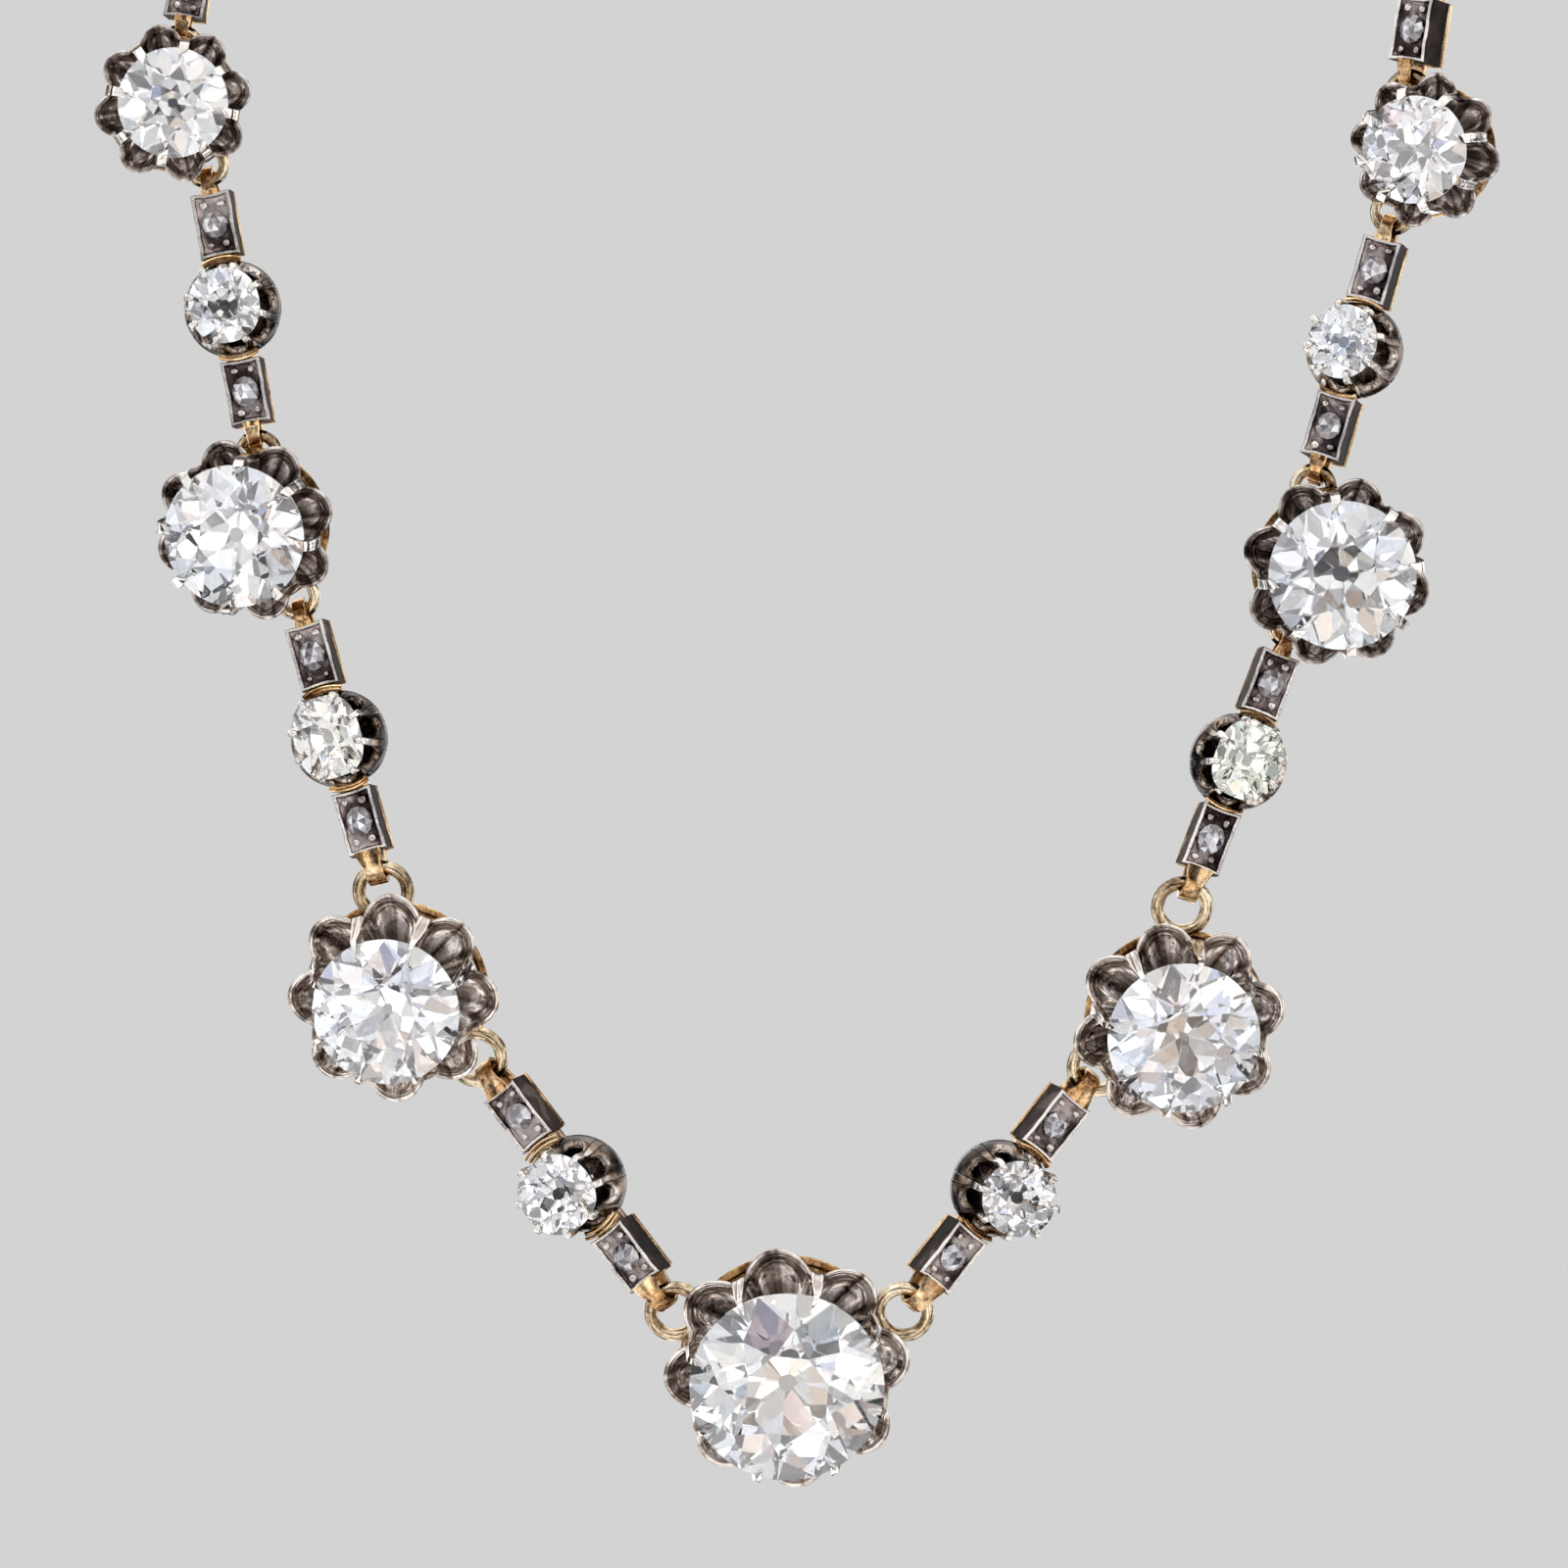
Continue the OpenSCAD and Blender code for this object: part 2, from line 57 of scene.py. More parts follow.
# the way of the necklace, one cluster and one link after another up each side, as in the solids
clusterTerms = ("petalShare", "stoneShare", "clawTurn", "yaw", "nod")
linkTerms = ("lean", "roll", "lengthShare", "lowTurn", "lowReach", "highTurn", "highReach", "wide", "long")
necklace = {
    "petalRadius": 5.17, "rimDrop": 0.54, "stoneGap": 0.05, "claspRadius": 1.6, "neckDepth": 95,
    "napeRise": 113, "linkLength": 10.1, "backLean": 4, "smallStone": 1.6, "smallRise": 1.9, "barFront": 0.75,
    # left side, then right side, from the centre up
    "clusters": [
        [[1, 0.797, 17, 0, 16.5], [0.862, 0.705, 23, -8, 14],
         [0.748, 0.783, 7, -13, 8], [0.638, 0.708, 11, 1, 0]],
        [[1, 0.797, 17, 0, 16.5], [0.862, 0.726, 11, 5, 13],
         [0.772, 0.79, -6.5, 6, 5], [0.626, 0.705, -11, -16, 0]]],
    # turns and reaches are those of the rings that hold the link, wide and long are of its small stone
    "links": [
        [[-37.5, -20, 1.03, -66.5, 1.01, 132, 1, 1.05, 1.04],
         [-16, -9, 1.01, -6.5, 0.987, 152, 0.926, 0.9, 1.09],
         [-10.3, -6, 1, 4, 0.787, 151, 0.895, 0.94, 1],
         [8, -5, 1, 8, 0.728, 0, 0, 0.92, 1]],
        [[38, 19, 0.99, 67.5, 1.047, -123, 0.885, 1.04, 1],
         [21, 7, 0.985, 2, 1.096, -146, 0.767, 0.89, 1.04],
         [16.3, -12.5, 0.97, -13.4, 0.885, -143, 1.011, 0.92, 0.99],
         [9, -28, 1, -27, 0.869, 0, 0, 0.92, 1]]]}
# ring radius, its wire and its depth behind the rims; the bail's reach, half depth, width and flare
lowerHook = {"ring": 1.06, "wire": 0.58, "back": 1.4,
             "reach": 0.69, "bailDepth": 0.7, "bailWidth": 0.8, "flare": 0.17}
upperHook = {"ring": 0.78, "wire": 0.5, "back": 2.0,
             "reach": 0.5, "bailDepth": 0.6, "bailWidth": 0.55, "flare": 0.09}
# each cluster has eight petals and claws, each collet eight claws and each stone eight main facets
sectors = 8
sectorTurn = 360 / sectors
halfSector = radians(sectorTurn / 2)
nape = Vector((0, necklace["neckDepth"], necklace["napeRise"]))
lift = Vector((0, necklace["claspRadius"], 0)) - nape
sides = ("left", "right")


def turn(angle, axis):
    return Matrix.Rotation(radians(angle), 3, axis)


def across(v, n):
    return (v - n * v.dot(n)).normalized()


def hookOf(k):
    return lowerHook if k < 2 else upperHook


def clusterRow(s, k):
    return dict(zip(clusterTerms, necklace["clusters"][s][k]))


def linkRow(s, k):
    return dict(zip(linkTerms, necklace["links"][s][k - 1]))


def petalRadius(s, k):
    return necklace["petalRadius"] * clusterRow(s, k)["petalShare"]


def stoneRadius(s, k):
    return petalRadius(s, k) * clusterRow(s, k)["stoneShare"]


def rimHeight(s, k):
    return -necklace["rimDrop"] * petalRadius(s, k)


def clusterFace(s, k):
    row = clusterRow(s, k)
    return turn(row["yaw"], "Z") @ turn(90 + row["nod"], "X")


def ringIn(s, k, angle, reach):
    r = reach * petalRadius(s, k)
    return Vector((r * sin(radians(angle)), r * cos(radians(angle)), rimHeight(s, k) - hookOf(k)["back"]))


def linkFace(s, k):
    row = linkRow(s, k)
    return turn(row["lean"], "Y") @ turn(90 - necklace["backLean"], "X") @ turn(row["roll"], "Y")


def linkSize(s, k):
    return necklace["linkLength"] * linkRow(s, k)["lengthShare"]


clusterAt, linkAt = {}, {}
for s in (0, 1):
    clusterAt[s, 0] = Vector((0, 0, 0))
    for k in (1, 2, 3, 4):
        row = linkRow(s, k)
        along = linkFace(s, k) @ Vector((0, 1, 0))
        facing = clusterFace(s, k - 1) @ Vector((0, 0, 1))
        ring = clusterFace(s, k - 1) @ ringIn(s, k - 1, row["lowTurn"], row["lowReach"])
        low = clusterAt[s, k - 1] + ring + across(along, facing) * hookOf(k - 1)["ring"]
        linkAt[s, k] = low + along * (hookOf(k - 1)["reach"] + linkSize(s, k) / 2)
        if k < 4:
            high = linkAt[s, k] + along * (linkSize(s, k) / 2 + hookOf(k)["reach"])
            facing = clusterFace(s, k) @ Vector((0, 0, 1))
            ring = clusterFace(s, k) @ ringIn(s, k, row["highTurn"], row["highReach"])
            clusterAt[s, k] = high + across(along, facing) * hookOf(k)["ring"] - ring


def placing(m, p):
    made = m.to_4x4()
    made.translation = p + lift
    return Matrix.Scale(mm, 4) @ made


# mesh helpers: a shape gathers points, faces, how worn each point is (on petal walls and bar sides this also
# carries painted shade and sheen) and the lane that its painted reflection streaks follow
class Shape:
    def __init__(self):
        self.points, self.faces, self.wear, self.lane = [], [], [], []

    def add(self, points, faces, wear=0.0, place=None, lane=0.0):
        start = len(self.points)
        self.points += [place @ Vector(p) if place else Vector(p) for p in points]
        self.faces += [[i + start for i in f] for f in faces]
        self.wear += list(wear) if hasattr(wear, "__len__") else [wear] * len(points)
        self.lane += list(lane) if hasattr(lane, "__len__") else [lane] * len(points)

    def net(self, rows, wear, closeAlong=False, capEnds=False, place=None, lane=0.0):
        # rings of equally many points, joined by quads
        n, m = len(rows), len(rows[0])
        points = [p for row in rows for p in row]
        worn = [w for w in wear for i in range(m)] if hasattr(wear, "__len__") and len(wear) == n else wear
        faces = []
        for i in range(n if closeAlong else n - 1):
            for j in range(m):
                a, b = i * m + j, i * m + (j + 1) % m
                c, d = ((i + 1) % n) * m + (j + 1) % m, ((i + 1) % n) * m + j
                faces.append([a, b, c, d])
        if capEnds:
            faces.append(list(range(m - 1, -1, -1)))
            faces.append([(n - 1) * m + j for j in range(m)])
        self.add(points, faces, worn, place, lane)


def added(name, data):
    made = bpy.data.objects.new(name, data)
    bpy.context.scene.collection.objects.link(made)
    return made


def finished(shape, name, place, finish, replaced, sharp=40, flat=False):
    mesh = bpy.data.meshes.new(name)
    mesh.from_pydata([place @ p for p in shape.points], [], shape.faces)
    built = bmesh.new()
    built.from_mesh(mesh)
    bmesh.ops.recalc_face_normals(built, faces=built.faces)
    built.to_mesh(mesh)
    built.free()
    for kind, values in (("wear", shape.wear), ("lane", shape.lane)):
        mesh.attributes.new(kind, "FLOAT", "POINT").data.foreach_set("value", values)
    if not flat:
        mesh.polygons.foreach_set("use_smooth", [True] * len(mesh.polygons))
        mesh.set_sharp_from_angle(angle=radians(sharp))
    mesh.materials.append(finish)
    mesh.update()
    made = added(name, mesh)
    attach(made, "root")
    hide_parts(*replaced)
    return made


def mixed(a, b, t):
    return a + (b - a) * t


def eased(t):
    t = max(0.0, min(1.0, t))
    return t * t * (3 - 2 * t)


def alongPath(path, t):
    # a point of a smooth curve through rows of numbers, t from 0 to 1
    n = len(path) - 1
    i = min(int(t * n), n - 1)
    f = t * n - i
    a, b, c, d = path[max(i - 1, 0)], path[i], path[i + 1], path[min(i + 2, n)]
    return [0.5 * (2 * q + (r - p) * f + (2 * p - 5 * q + 4 * r - w) * f * f
                   + (3 * q - p - 3 * r + w) * f ** 3) for p, q, r, w in zip(a, b, c, d)]


# materials
def shaderKit(name):
    made = bpy.data.materials.new(name)
    made.use_nodes = True
    tree = made.node_tree
    tree.nodes.clear()
    out = tree.nodes.new("ShaderNodeOutputMaterial")
    main = tree.nodes.new("ShaderNodeBsdfPrincipled")
    tree.links.new(main.outputs[0], out.inputs[0])
    where = tree.nodes.new("ShaderNodeTexCoord").outputs["Object"]
    return made, tree, main, where


def noiseOf(tree, where, perMm, detail, rough, stretch=None, distort=0.0):
    if stretch:
        scaled = tree.nodes.new("ShaderNodeMapping")
        scaled.inputs["Scale"].default_value = stretch
        tree.links.new(where, scaled.inputs["Vector"])
        where = scaled.outputs[0]
    made = tree.nodes.new("ShaderNodeTexNoise")
    made.inputs["Scale"].default_value = perMm * 1000
    made.inputs["Detail"].default_value = detail
    made.inputs["Roughness"].default_value = rough
    made.inputs["Distortion"].default_value = distort
    tree.links.new(where, made.inputs["Vector"])
    return made.outputs["Fac"]


def rampOf(tree, value, places, colours):
    made = tree.nodes.new("ShaderNodeValToRGB")
    bar = made.color_ramp.elements
    while len(bar) < len(places):
        bar.new(0.5)
    for spot, at, colour in zip(bar, places, colours):
        spot.position = at
        spot.color = (*colour, 1)
    tree.links.new(value, made.inputs["Fac"])
    return made.outputs["Color"]


def blended(tree, share, a, b, how="MIX"):
    made = tree.nodes.new("ShaderNodeMix")
    made.data_type, made.blend_type = "RGBA", how
    for socket, value in ((made.inputs[0], share), (made.inputs[6], a), (made.inputs[7], b)):
        if isinstance(value, bpy.types.NodeSocket):
            tree.links.new(value, socket)
        elif isinstance(value, (int, float)):
            socket.default_value = value
        else:
            socket.default_value = (*value, 1)
    return made.outputs[2]


def sums(tree, how, a, b, clamp=False):
    made = tree.nodes.new("ShaderNodeMath")
    made.operation, made.use_clamp = how, clamp
    for socket, value in zip(made.inputs, (a, b)):
        if isinstance(value, bpy.types.NodeSocket):
            tree.links.new(value, socket)
        else:
            socket.default_value = value
    return made.outputs[0]


def ranged(tree, value, low, high, toLow, toHigh):
    made = tree.nodes.new("ShaderNodeMapRange")
    tree.links.new(value, made.inputs["Value"])
    for socket, number in zip(("From Min", "From Max", "To Min", "To Max"), (low, high, toLow, toHigh)):
        made.inputs[socket].default_value = number
    return made.outputs["Result"]


def bumped(tree, main, height, strength, depthMm):
    made = tree.nodes.new("ShaderNodeBump")
    made.inputs["Strength"].default_value = strength
    made.inputs["Distance"].default_value = depthMm * mm
    tree.links.new(height, made.inputs["Height"])
    tree.links.new(made.outputs[0], main.inputs["Normal"])


# tarnish, wear and painted shade and sheen: how many marks to a millimetre, where the tones change, and how
# strong each mark is
tarnish = {"cloud": 0.5, "grain": 9, "scratch": 5, "paintedReflectionStreak": 1.1, "laneStep": 0.0034, "laneDrift": 0.0004,
           "toneStops": (0.37, 0.48, 0.58), "patinaAndShade": (0.2, 0.15, 0.125), "patinaShadeLift": 0.2,
           "patinaShadeStops": (0.03, 0.2), "rubFrom": (0.38, 0.62), "rubSpread": 0.34, "firstRub": (0.1, 0.42),
           "lastRub": (0.42, 0.85), "polished": (0.9, 0.86, 0.81), "roughFrom": (0.3, 0.7),
           "grainRough": (-0.05, 0.07), "hollowRough": 0.4, "scratches": 0.35, "bump": 0.35,
           "bumpDepth": 0.03}


def wornMetal(name, deep, mid, pale, rubbed, roughLow, roughHigh, pits=0.35, paintedStreakShare=0.0):
    # tarnish lies deep in the hollows, darkened there further as painted shade; walls lighten as a painted
    # sheen, and rims, tips and edges are rubbed bright
    made, tree, main, where = shaderKit(name)
    main.inputs["Metallic"].default_value = 1.0
    worn, lane = [tree.nodes.new("ShaderNodeAttribute") for i in (0, 1)]
    worn.attribute_name, lane.attribute_name = "wear", "lane"
    wear = worn.outputs["Fac"]
    cloud = noiseOf(tree, where, tarnish["cloud"], 5, 0.6, distort=0.5)
    grain = noiseOf(tree, where, tarnish["grain"], 3, 0.6)
    # streaks along each petal's lanes: painted reflection lines of its glossy hollow
    lanes = tree.nodes.new("ShaderNodeCombineXYZ")
    tree.links.new(sums(tree, "MULTIPLY", lane.outputs["Fac"], tarnish["laneStep"]), lanes.inputs[0])
    tree.links.new(sums(tree, "MULTIPLY", cloud, tarnish["laneDrift"]), lanes.inputs[1])
    paintedReflectionStreak = noiseOf(tree, lanes.outputs[0], tarnish["paintedReflectionStreak"], 2, 0.5)
    clouded, streaked = sums(tree, "MULTIPLY", cloud, 1 - paintedStreakShare), sums(tree, "MULTIPLY", paintedReflectionStreak, paintedStreakShare)
    base = sums(tree, "ADD", clouded, streaked)
    patina = rampOf(tree, base, tarnish["toneStops"], (deep, mid, pale))
    lifted = sums(tree, "ADD", wear, tarnish["patinaShadeLift"])
    patinaAndShade = rampOf(tree, lifted, tarnish["patinaShadeStops"], (tarnish["patinaAndShade"], (1, 1, 1)))
    patina = blended(tree, 1.0, patina, patinaAndShade, "MULTIPLY")
    spread = ranged(tree, base, *tarnish["rubFrom"], -tarnish["rubSpread"], tarnish["rubSpread"])
    rub = sums(tree, "ADD", wear, spread, clamp=True)
    first = rampOf(tree, rub, tarnish["firstRub"], ((0, 0, 0), (1, 1, 1)))
    last = rampOf(tree, rub, tarnish["lastRub"], ((0, 0, 0), (1, 1, 1)))
    colour = blended(tree, last, blended(tree, first, patina, rubbed), tarnish["polished"])
    tree.links.new(colour, main.inputs["Base Color"])
    cloudRough = ranged(tree, cloud, *tarnish["roughFrom"], roughLow, roughHigh)
    grainRough = ranged(tree, grain, *tarnish["roughFrom"], *tarnish["grainRough"])
    rough = sums(tree, "ADD", cloudRough, grainRough, clamp=True)
    # the patina and painted shade in the hollows are dull
    rough = sums(tree, "ADD", rough, ranged(tree, wear, -0.2, 0.0, tarnish["hollowRough"], 0.0))
    tree.links.new(rough, main.inputs["Roughness"])
    scratch = noiseOf(tree, where, tarnish["scratch"], 2, 0.5, stretch=(0.18, 1, 1.3))
    pitted = sums(tree, "MULTIPLY", grain, pits)
    scratched = sums(tree, "MULTIPLY", scratch, tarnish["scratches"])
    bumped(tree, main, sums(tree, "ADD", pitted, scratched), tarnish["bump"], tarnish["bumpDepth"])
    return made


# deep, middle, pale and rubbed tones, then the least and most roughness
oldSilver = wornMetal("oldSilver", (0.05, 0.033, 0.025), (0.42, 0.34, 0.29), (0.95, 0.89, 0.83),
                      (0.74, 0.67, 0.61), 0.03, 0.1, paintedStreakShare=0.7)
# a darker copy of the same silver for the upper clusters, as painted shade; the brighter copy above, for the
# lower clusters, carries painted light
paintedShadeSilver = wornMetal("paintedShadeSilver", (0.03, 0.02, 0.016), (0.2, 0.15, 0.125), (0.74, 0.66, 0.6),
                        (0.5, 0.44, 0.4), 0.05, 0.14, paintedStreakShare=0.7)
darkSilver = wornMetal("darkSilver", (0.014, 0.01, 0.009), (0.05, 0.036, 0.031), (0.15, 0.115, 0.1),
                       (0.34, 0.26, 0.2), 0.14, 0.28)
barSilver = wornMetal("barSilver", (0.018, 0.012, 0.012), (0.07, 0.05, 0.048), (0.34, 0.28, 0.27),
                      (0.5, 0.44, 0.42), 0.16, 0.34, pits=1.2)

# marks of the gold to a millimetre, where its tones change, and its dents and pits
goldMarks = {"cloud": 0.7, "pit": 7, "dent": 1.7, "pitTone": 0.25, "toneStops": (0.36, 0.46, 0.6),
             "roughFrom": (0.3, 0.7), "pitDepth": 0.25, "bump": 0.4, "bumpDepth": 0.07}


def goldFinish(name, deep, mid, bright, roughLow, roughHigh):
    made, tree, main, where = shaderKit(name)
    main.inputs["Metallic"].default_value = 1.0
    cloud = noiseOf(tree, where, goldMarks["cloud"], 4, 0.6, distort=0.3)
    pit = noiseOf(tree, where, goldMarks["pit"], 3, 0.65)
    clouded = sums(tree, "MULTIPLY", cloud, 1 - goldMarks["pitTone"])
    base = sums(tree, "ADD", clouded, sums(tree, "MULTIPLY", pit, goldMarks["pitTone"]))
    tree.links.new(rampOf(tree, base, goldMarks["toneStops"], (deep, mid, bright)), main.inputs["Base Color"])
    rough = ranged(tree, cloud, *goldMarks["roughFrom"], roughLow, roughHigh)
    tree.links.new(rough, main.inputs["Roughness"])
    dent = noiseOf(tree, where, goldMarks["dent"], 2, 0.5)
    height = sums(tree, "ADD", sums(tree, "MULTIPLY", pit, goldMarks["pitDepth"]), dent)
    bumped(tree, main, height, goldMarks["bump"], goldMarks["bumpDepth"])
    return made


roseGold = goldFinish("roseGold", (0.1, 0.04, 0.014), (0.58, 0.33, 0.14), (0.98, 0.74, 0.45), 0.1, 0.24)
ringGold = goldFinish("ringGold", (0.1, 0.06, 0.03), (0.44, 0.33, 0.2), (0.9, 0.77, 0.56), 0.1, 0.24)
coneGold = goldFinish("coneGold", (0.05, 0.024, 0.01), (0.36, 0.2, 0.08), (0.86, 0.6, 0.32), 0.08, 0.2)
chainGold = goldFinish("chainGold", (0.45, 0.24, 0.09), (0.83, 0.56, 0.27), (0.96, 0.74, 0.43), 0.16, 0.3)


def paintFacetLight(tree, main, colour):
    # each facet gets a painted tone of light or shade, standing in for the reflections it would show
    paintedFacetLight = tree.nodes.new("ShaderNodeAttribute")
    paintedFacetLight.attribute_name = "paintedFacetLight"
    tree.links.new(blended(tree, 1.0, colour, paintedFacetLight.outputs["Color"], "MULTIPLY"), main.inputs["Base Color"])


def diamondFinish(name, tint, haze):
    made, tree, main, where = shaderKit(name)
    main.inputs["Transmission Weight"].default_value = 0.94
    main.inputs["IOR"].default_value = 2.42
    main.inputs["Roughness"].default_value = 0.0
    dim = tuple(c * (1 - haze) for c in tint)
    paintFacetLight(tree, main, rampOf(tree, noiseOf(tree, where, 0.9, 3, 0.5), (0.35, 0.55), (dim, tint)))
    return made


clearStone = diamondFinish("clearStone", (0.995, 0.995, 1.0), 0.04)
warmStone = diamondFinish("warmStone", (1.0, 0.97, 0.91), 0.05)
greenStone = diamondFinish("greenStone", (0.96, 0.985, 0.84), 0.05)


def roseFinish():
    made, tree, main, where = shaderKit("greyRose")
    main.inputs["Roughness"].default_value = 0.06
    main.inputs["IOR"].default_value = 2.2
    main.inputs["Transmission Weight"].default_value = 0.3
    main.inputs["Metallic"].default_value = 0.4
    cloud = noiseOf(tree, where, 2.2, 4, 0.6, distort=0.5)
    greys = ((0.6, 0.58, 0.6), (0.88, 0.87, 0.89), (1, 1, 1))
    paintFacetLight(tree, main, rampOf(tree, cloud, (0.35, 0.5, 0.66), greys))
    bumped(tree, main, noiseOf(tree, where, 5, 3, 0.6), 0.3, 0.03)
    return made


greyRose = roseFinish()
print("materials made")

# the petal clusters
petals = {"at": 0.68, "hollow": 0.355, "narrow": 0.84, "archTurn": 66, "archShare": 0.62, "rim": 0.32,
          "foot": 0.4, "footDrop": 0.24, "bowlDrop": 0.23, "clawOver": 0.3, "steps": (9, 5), "wobble": 0.02,
          # of the lower and of the upper clusters
          "clawHalf": ((0.3, 0.22, 0.17, 0.13, 0.05), (0.3, 0.26, 0.25, 0.24, 0.19)),
          "clawThick": (0.24, 0.34), "sheenFrom": (0.12, 0.25), "stemWear": (0.12, 0.3),
          # the rolled lip: angles over it, wear at each, and how far it stands up on petals and on claws
          "lipTurns": (30, 62, 90, 118, 150), "lipWear": (0.22, 0.26, 0.32, 0.44, 0.36),
          "lipRoll": 0.42, "tipRoll": 0.08, "hollowPatinaShade": -0.12, "wallPaintedSheen": 0.27, "tipWear": 0.95,
          "outerSheenShare": 0.6, "laneStep": 2.7}


def clawClimb(path, u, half0, steps):
    # points up the side of a claw; u runs from 0 at its edge to 1 along its middle
    climb = []
    for i in range(steps + 1):
        f = i / steps
        r, half, z = alongPath(path, u * f)
        half = mixed(half0 * (1 - u), half, f)
        x, y = r * cos(halfSector) + half * sin(halfSector), r * sin(halfSector) - half * cos(halfSector)
        climb.append((x, y, z))
    return climb


def placesAcross(share, clawSteps, archSteps):
    # where the columns of one sector stand: over the arch, and closer together on the claw
    spread = [i / clawSteps * (1 - share) + share for i in range(1, clawSteps + 1)]
    arch = [share * (i / archSteps - 1) for i in range(0, 2 * archSteps + 1)]
    return [-t for t in reversed(spread)] + arch + spread[:-1]


def wallsRound(places, columnAt, start, wobbles):
    # the columns of the inner and of the outer wall, sector after sector all the way round
    inner, outer = [], []
    for i in range(sectors):
        c, d = cos(radians(sectorTurn * i + start)), sin(radians(sectorTurn * i + start))
        for t in places:
            grow = 1 + wobbles[i] * (1 - abs(t))
            for store, out in ((inner, 0), (outer, 1)):
                store.append([Vector(((p.x * c - p.y * d) * grow, (p.x * d + p.y * c) * grow, p.z))
                              for p in columnAt(i, t, out)])
    return inner, outer


def cupColumn(s, k, t, out):
    # one column of the fluted cup, from foot to rim; t is -1 to 1 across a petal, and out 0 inside, 1 outside
    rp, rs, rim = petalRadius(s, k), stoneRadius(s, k), rimHeight(s, k)
    grown = rp / necklace["petalRadius"]
    size = petals["hollow"] * rp - (1 - out) * petals["rim"] * mixed(0.4, 1, grown)
    share, steps = petals["archShare"], petals["steps"]
    a, side = abs(t), (1 if t >= 0 else -1)
    u = max(0.0, (a - share) / (1 - share))
    turnA = radians(petals["archTurn"]) * min(1.0, a / share)
    x, y = petals["at"] * rp + size * cos(turnA), petals["narrow"] * size * sin(turnA)
    climb = []
    if u > 0:
        r0, half0 = x * cos(halfSector) + y * sin(halfSector), x * sin(halfSector) - y * cos(halfSector)
        fat, scale = out * petals["clawThick"][k // 2], 0.7 + 0.3 * grown
        tip = 0.35 + 0.02 * rs
        halves = petals["clawHalf"][k // 2]
        # up beside the stone and over its edge: distance out, half width and height
        path = [[r0, half0, rim],
                [mixed(r0, rs + 0.12 + fat, 0.6), (halves[0] - 0.05 * out) * scale, mixed(rim, 0, 0.4)],
                [rs + 0.09 + fat, (halves[1] - 0.02 * out) * scale, -0.45],
                [rs + 0.06 + fat, (halves[2] - 0.02 * out) * scale, 0.02 + 0.1 * out],
                [rs - 0.04 + 0.7 * fat, (halves[3] - 0.02 * out) * scale, 0.2 + 0.3 * out],
                [rs - petals["clawOver"] + 0.05 * out, halves[4], tip + 0.17 * out]]
        climb = clawClimb(path, u, half0, steps[1])
        x, y = climb[0][0], climb[0][1]
    bend = eased((a - 0.5) / 0.5)
    footR, footZ = (petals["foot"] - 0.02 * out) * rp, rim - (petals["footDrop"] + 0.06 * out) * rp
    foot = Vector((footR * cos(a * halfSector), footR * sin(a * halfSector), footZ))
    mid = Vector((x * mixed(0.87, 0.97, bend) + 0.2 * out * (1 - bend), y * mixed(0.95, 0.98, bend),
                  rim - mixed(petals["bowlDrop"] + 0.06 * out, 0.1 + 0.1 * out, bend) * rp))
    top = Vector((x, y, rim))
    count = steps[0] if u > 0 else steps[0] + steps[1]
    column = []
    for i in range(count + 1):
        v = i / count
        column.append(foot * (1 - v) ** 2 + mid * 2 * v * (1 - v) + top * v * v)
    column += [Vector(p) for p in climb[1:]]
    return [Vector((p.x, side * p.y, p.z)) for p in column]


def clusterSilver(s, k):
    made = Shape()
    steps, share = petals["steps"], petals["archShare"]
    places = placesAcross(share, 6, 8)
    wobbles = [noise.noise(Vector((i * 3.1, s * 7 + k * 11.3, 0.5))) * petals["wobble"]
               for i in range(sectors)]
    start = 90 + sectorTurn / 2 - clusterRow(s, k)["clawTurn"]
    inner, outer = wallsRound(places, lambda i, t, out: cupColumn(s, k, t, out), start, wobbles)
    n, m = len(inner[0]), len(inner)
    claw = [eased((abs(t) - share) / (1 - share) * 1.6) for t in places] * sectors
    lip = []
    for over in petals["lipTurns"]:
        row = []
        for c, a, b in zip(claw, inner, outer):
            ahead = ((a[-1] - a[-2]).normalized() + (b[-1] - b[-2]).normalized()).normalized()
            roll = mixed(petals["lipRoll"] * (b[-1] - a[-1]).length, petals["tipRoll"], c)
            level = (a[-1] + b[-1]) / 2 - (b[-1] - a[-1]) / 2 * cos(radians(over))
            row.append(level + ahead * sin(radians(over)) * roll)
        lip.append(row)
    rows = list(zip(*inner)) + lip + list(zip(*outer))[::-1]
    # walls go from patina and painted shade at their foot to a painted sheen higher up, claws wear from stem
    # to tip
    early, stemWear, tipWear = petals["sheenFrom"][k // 2], petals["stemWear"][k // 2], petals["tipWear"]

    def rowWearAndSheen(i, share):
        # the wall darkens towards its foot as patina and painted shade, and lightens upwards as a painted
        # sheen; the outer face gets a share of it
        high = mixed(petals["hollowPatinaShade"], petals["wallPaintedSheen"], eased((i / n - early) / (0.9 - early))) * share
        stem = mixed(stemWear, tipWear, eased((i - steps[0] - 1) / (n - steps[0] - 2.4)))
        return [mixed(high, stem, c * eased((i - steps[0] + 1) / 2)) for c in claw]
    wear = [w for i in range(n) for w in rowWearAndSheen(i, 1)]
    wear += [mixed(level, 1.0, c) for level in petals["lipWear"] for c in claw]
    wear += [w for i in range(n - 1, -1, -1) for w in rowWearAndSheen(i, petals["outerSheenShare"])]
    lane = [j // len(places) * petals["laneStep"] + places[j % len(places)] for j in range(m)]
    made.net(rows, wear, closeAlong=True, lane=lane * (2 * n + len(lip)))
    return made


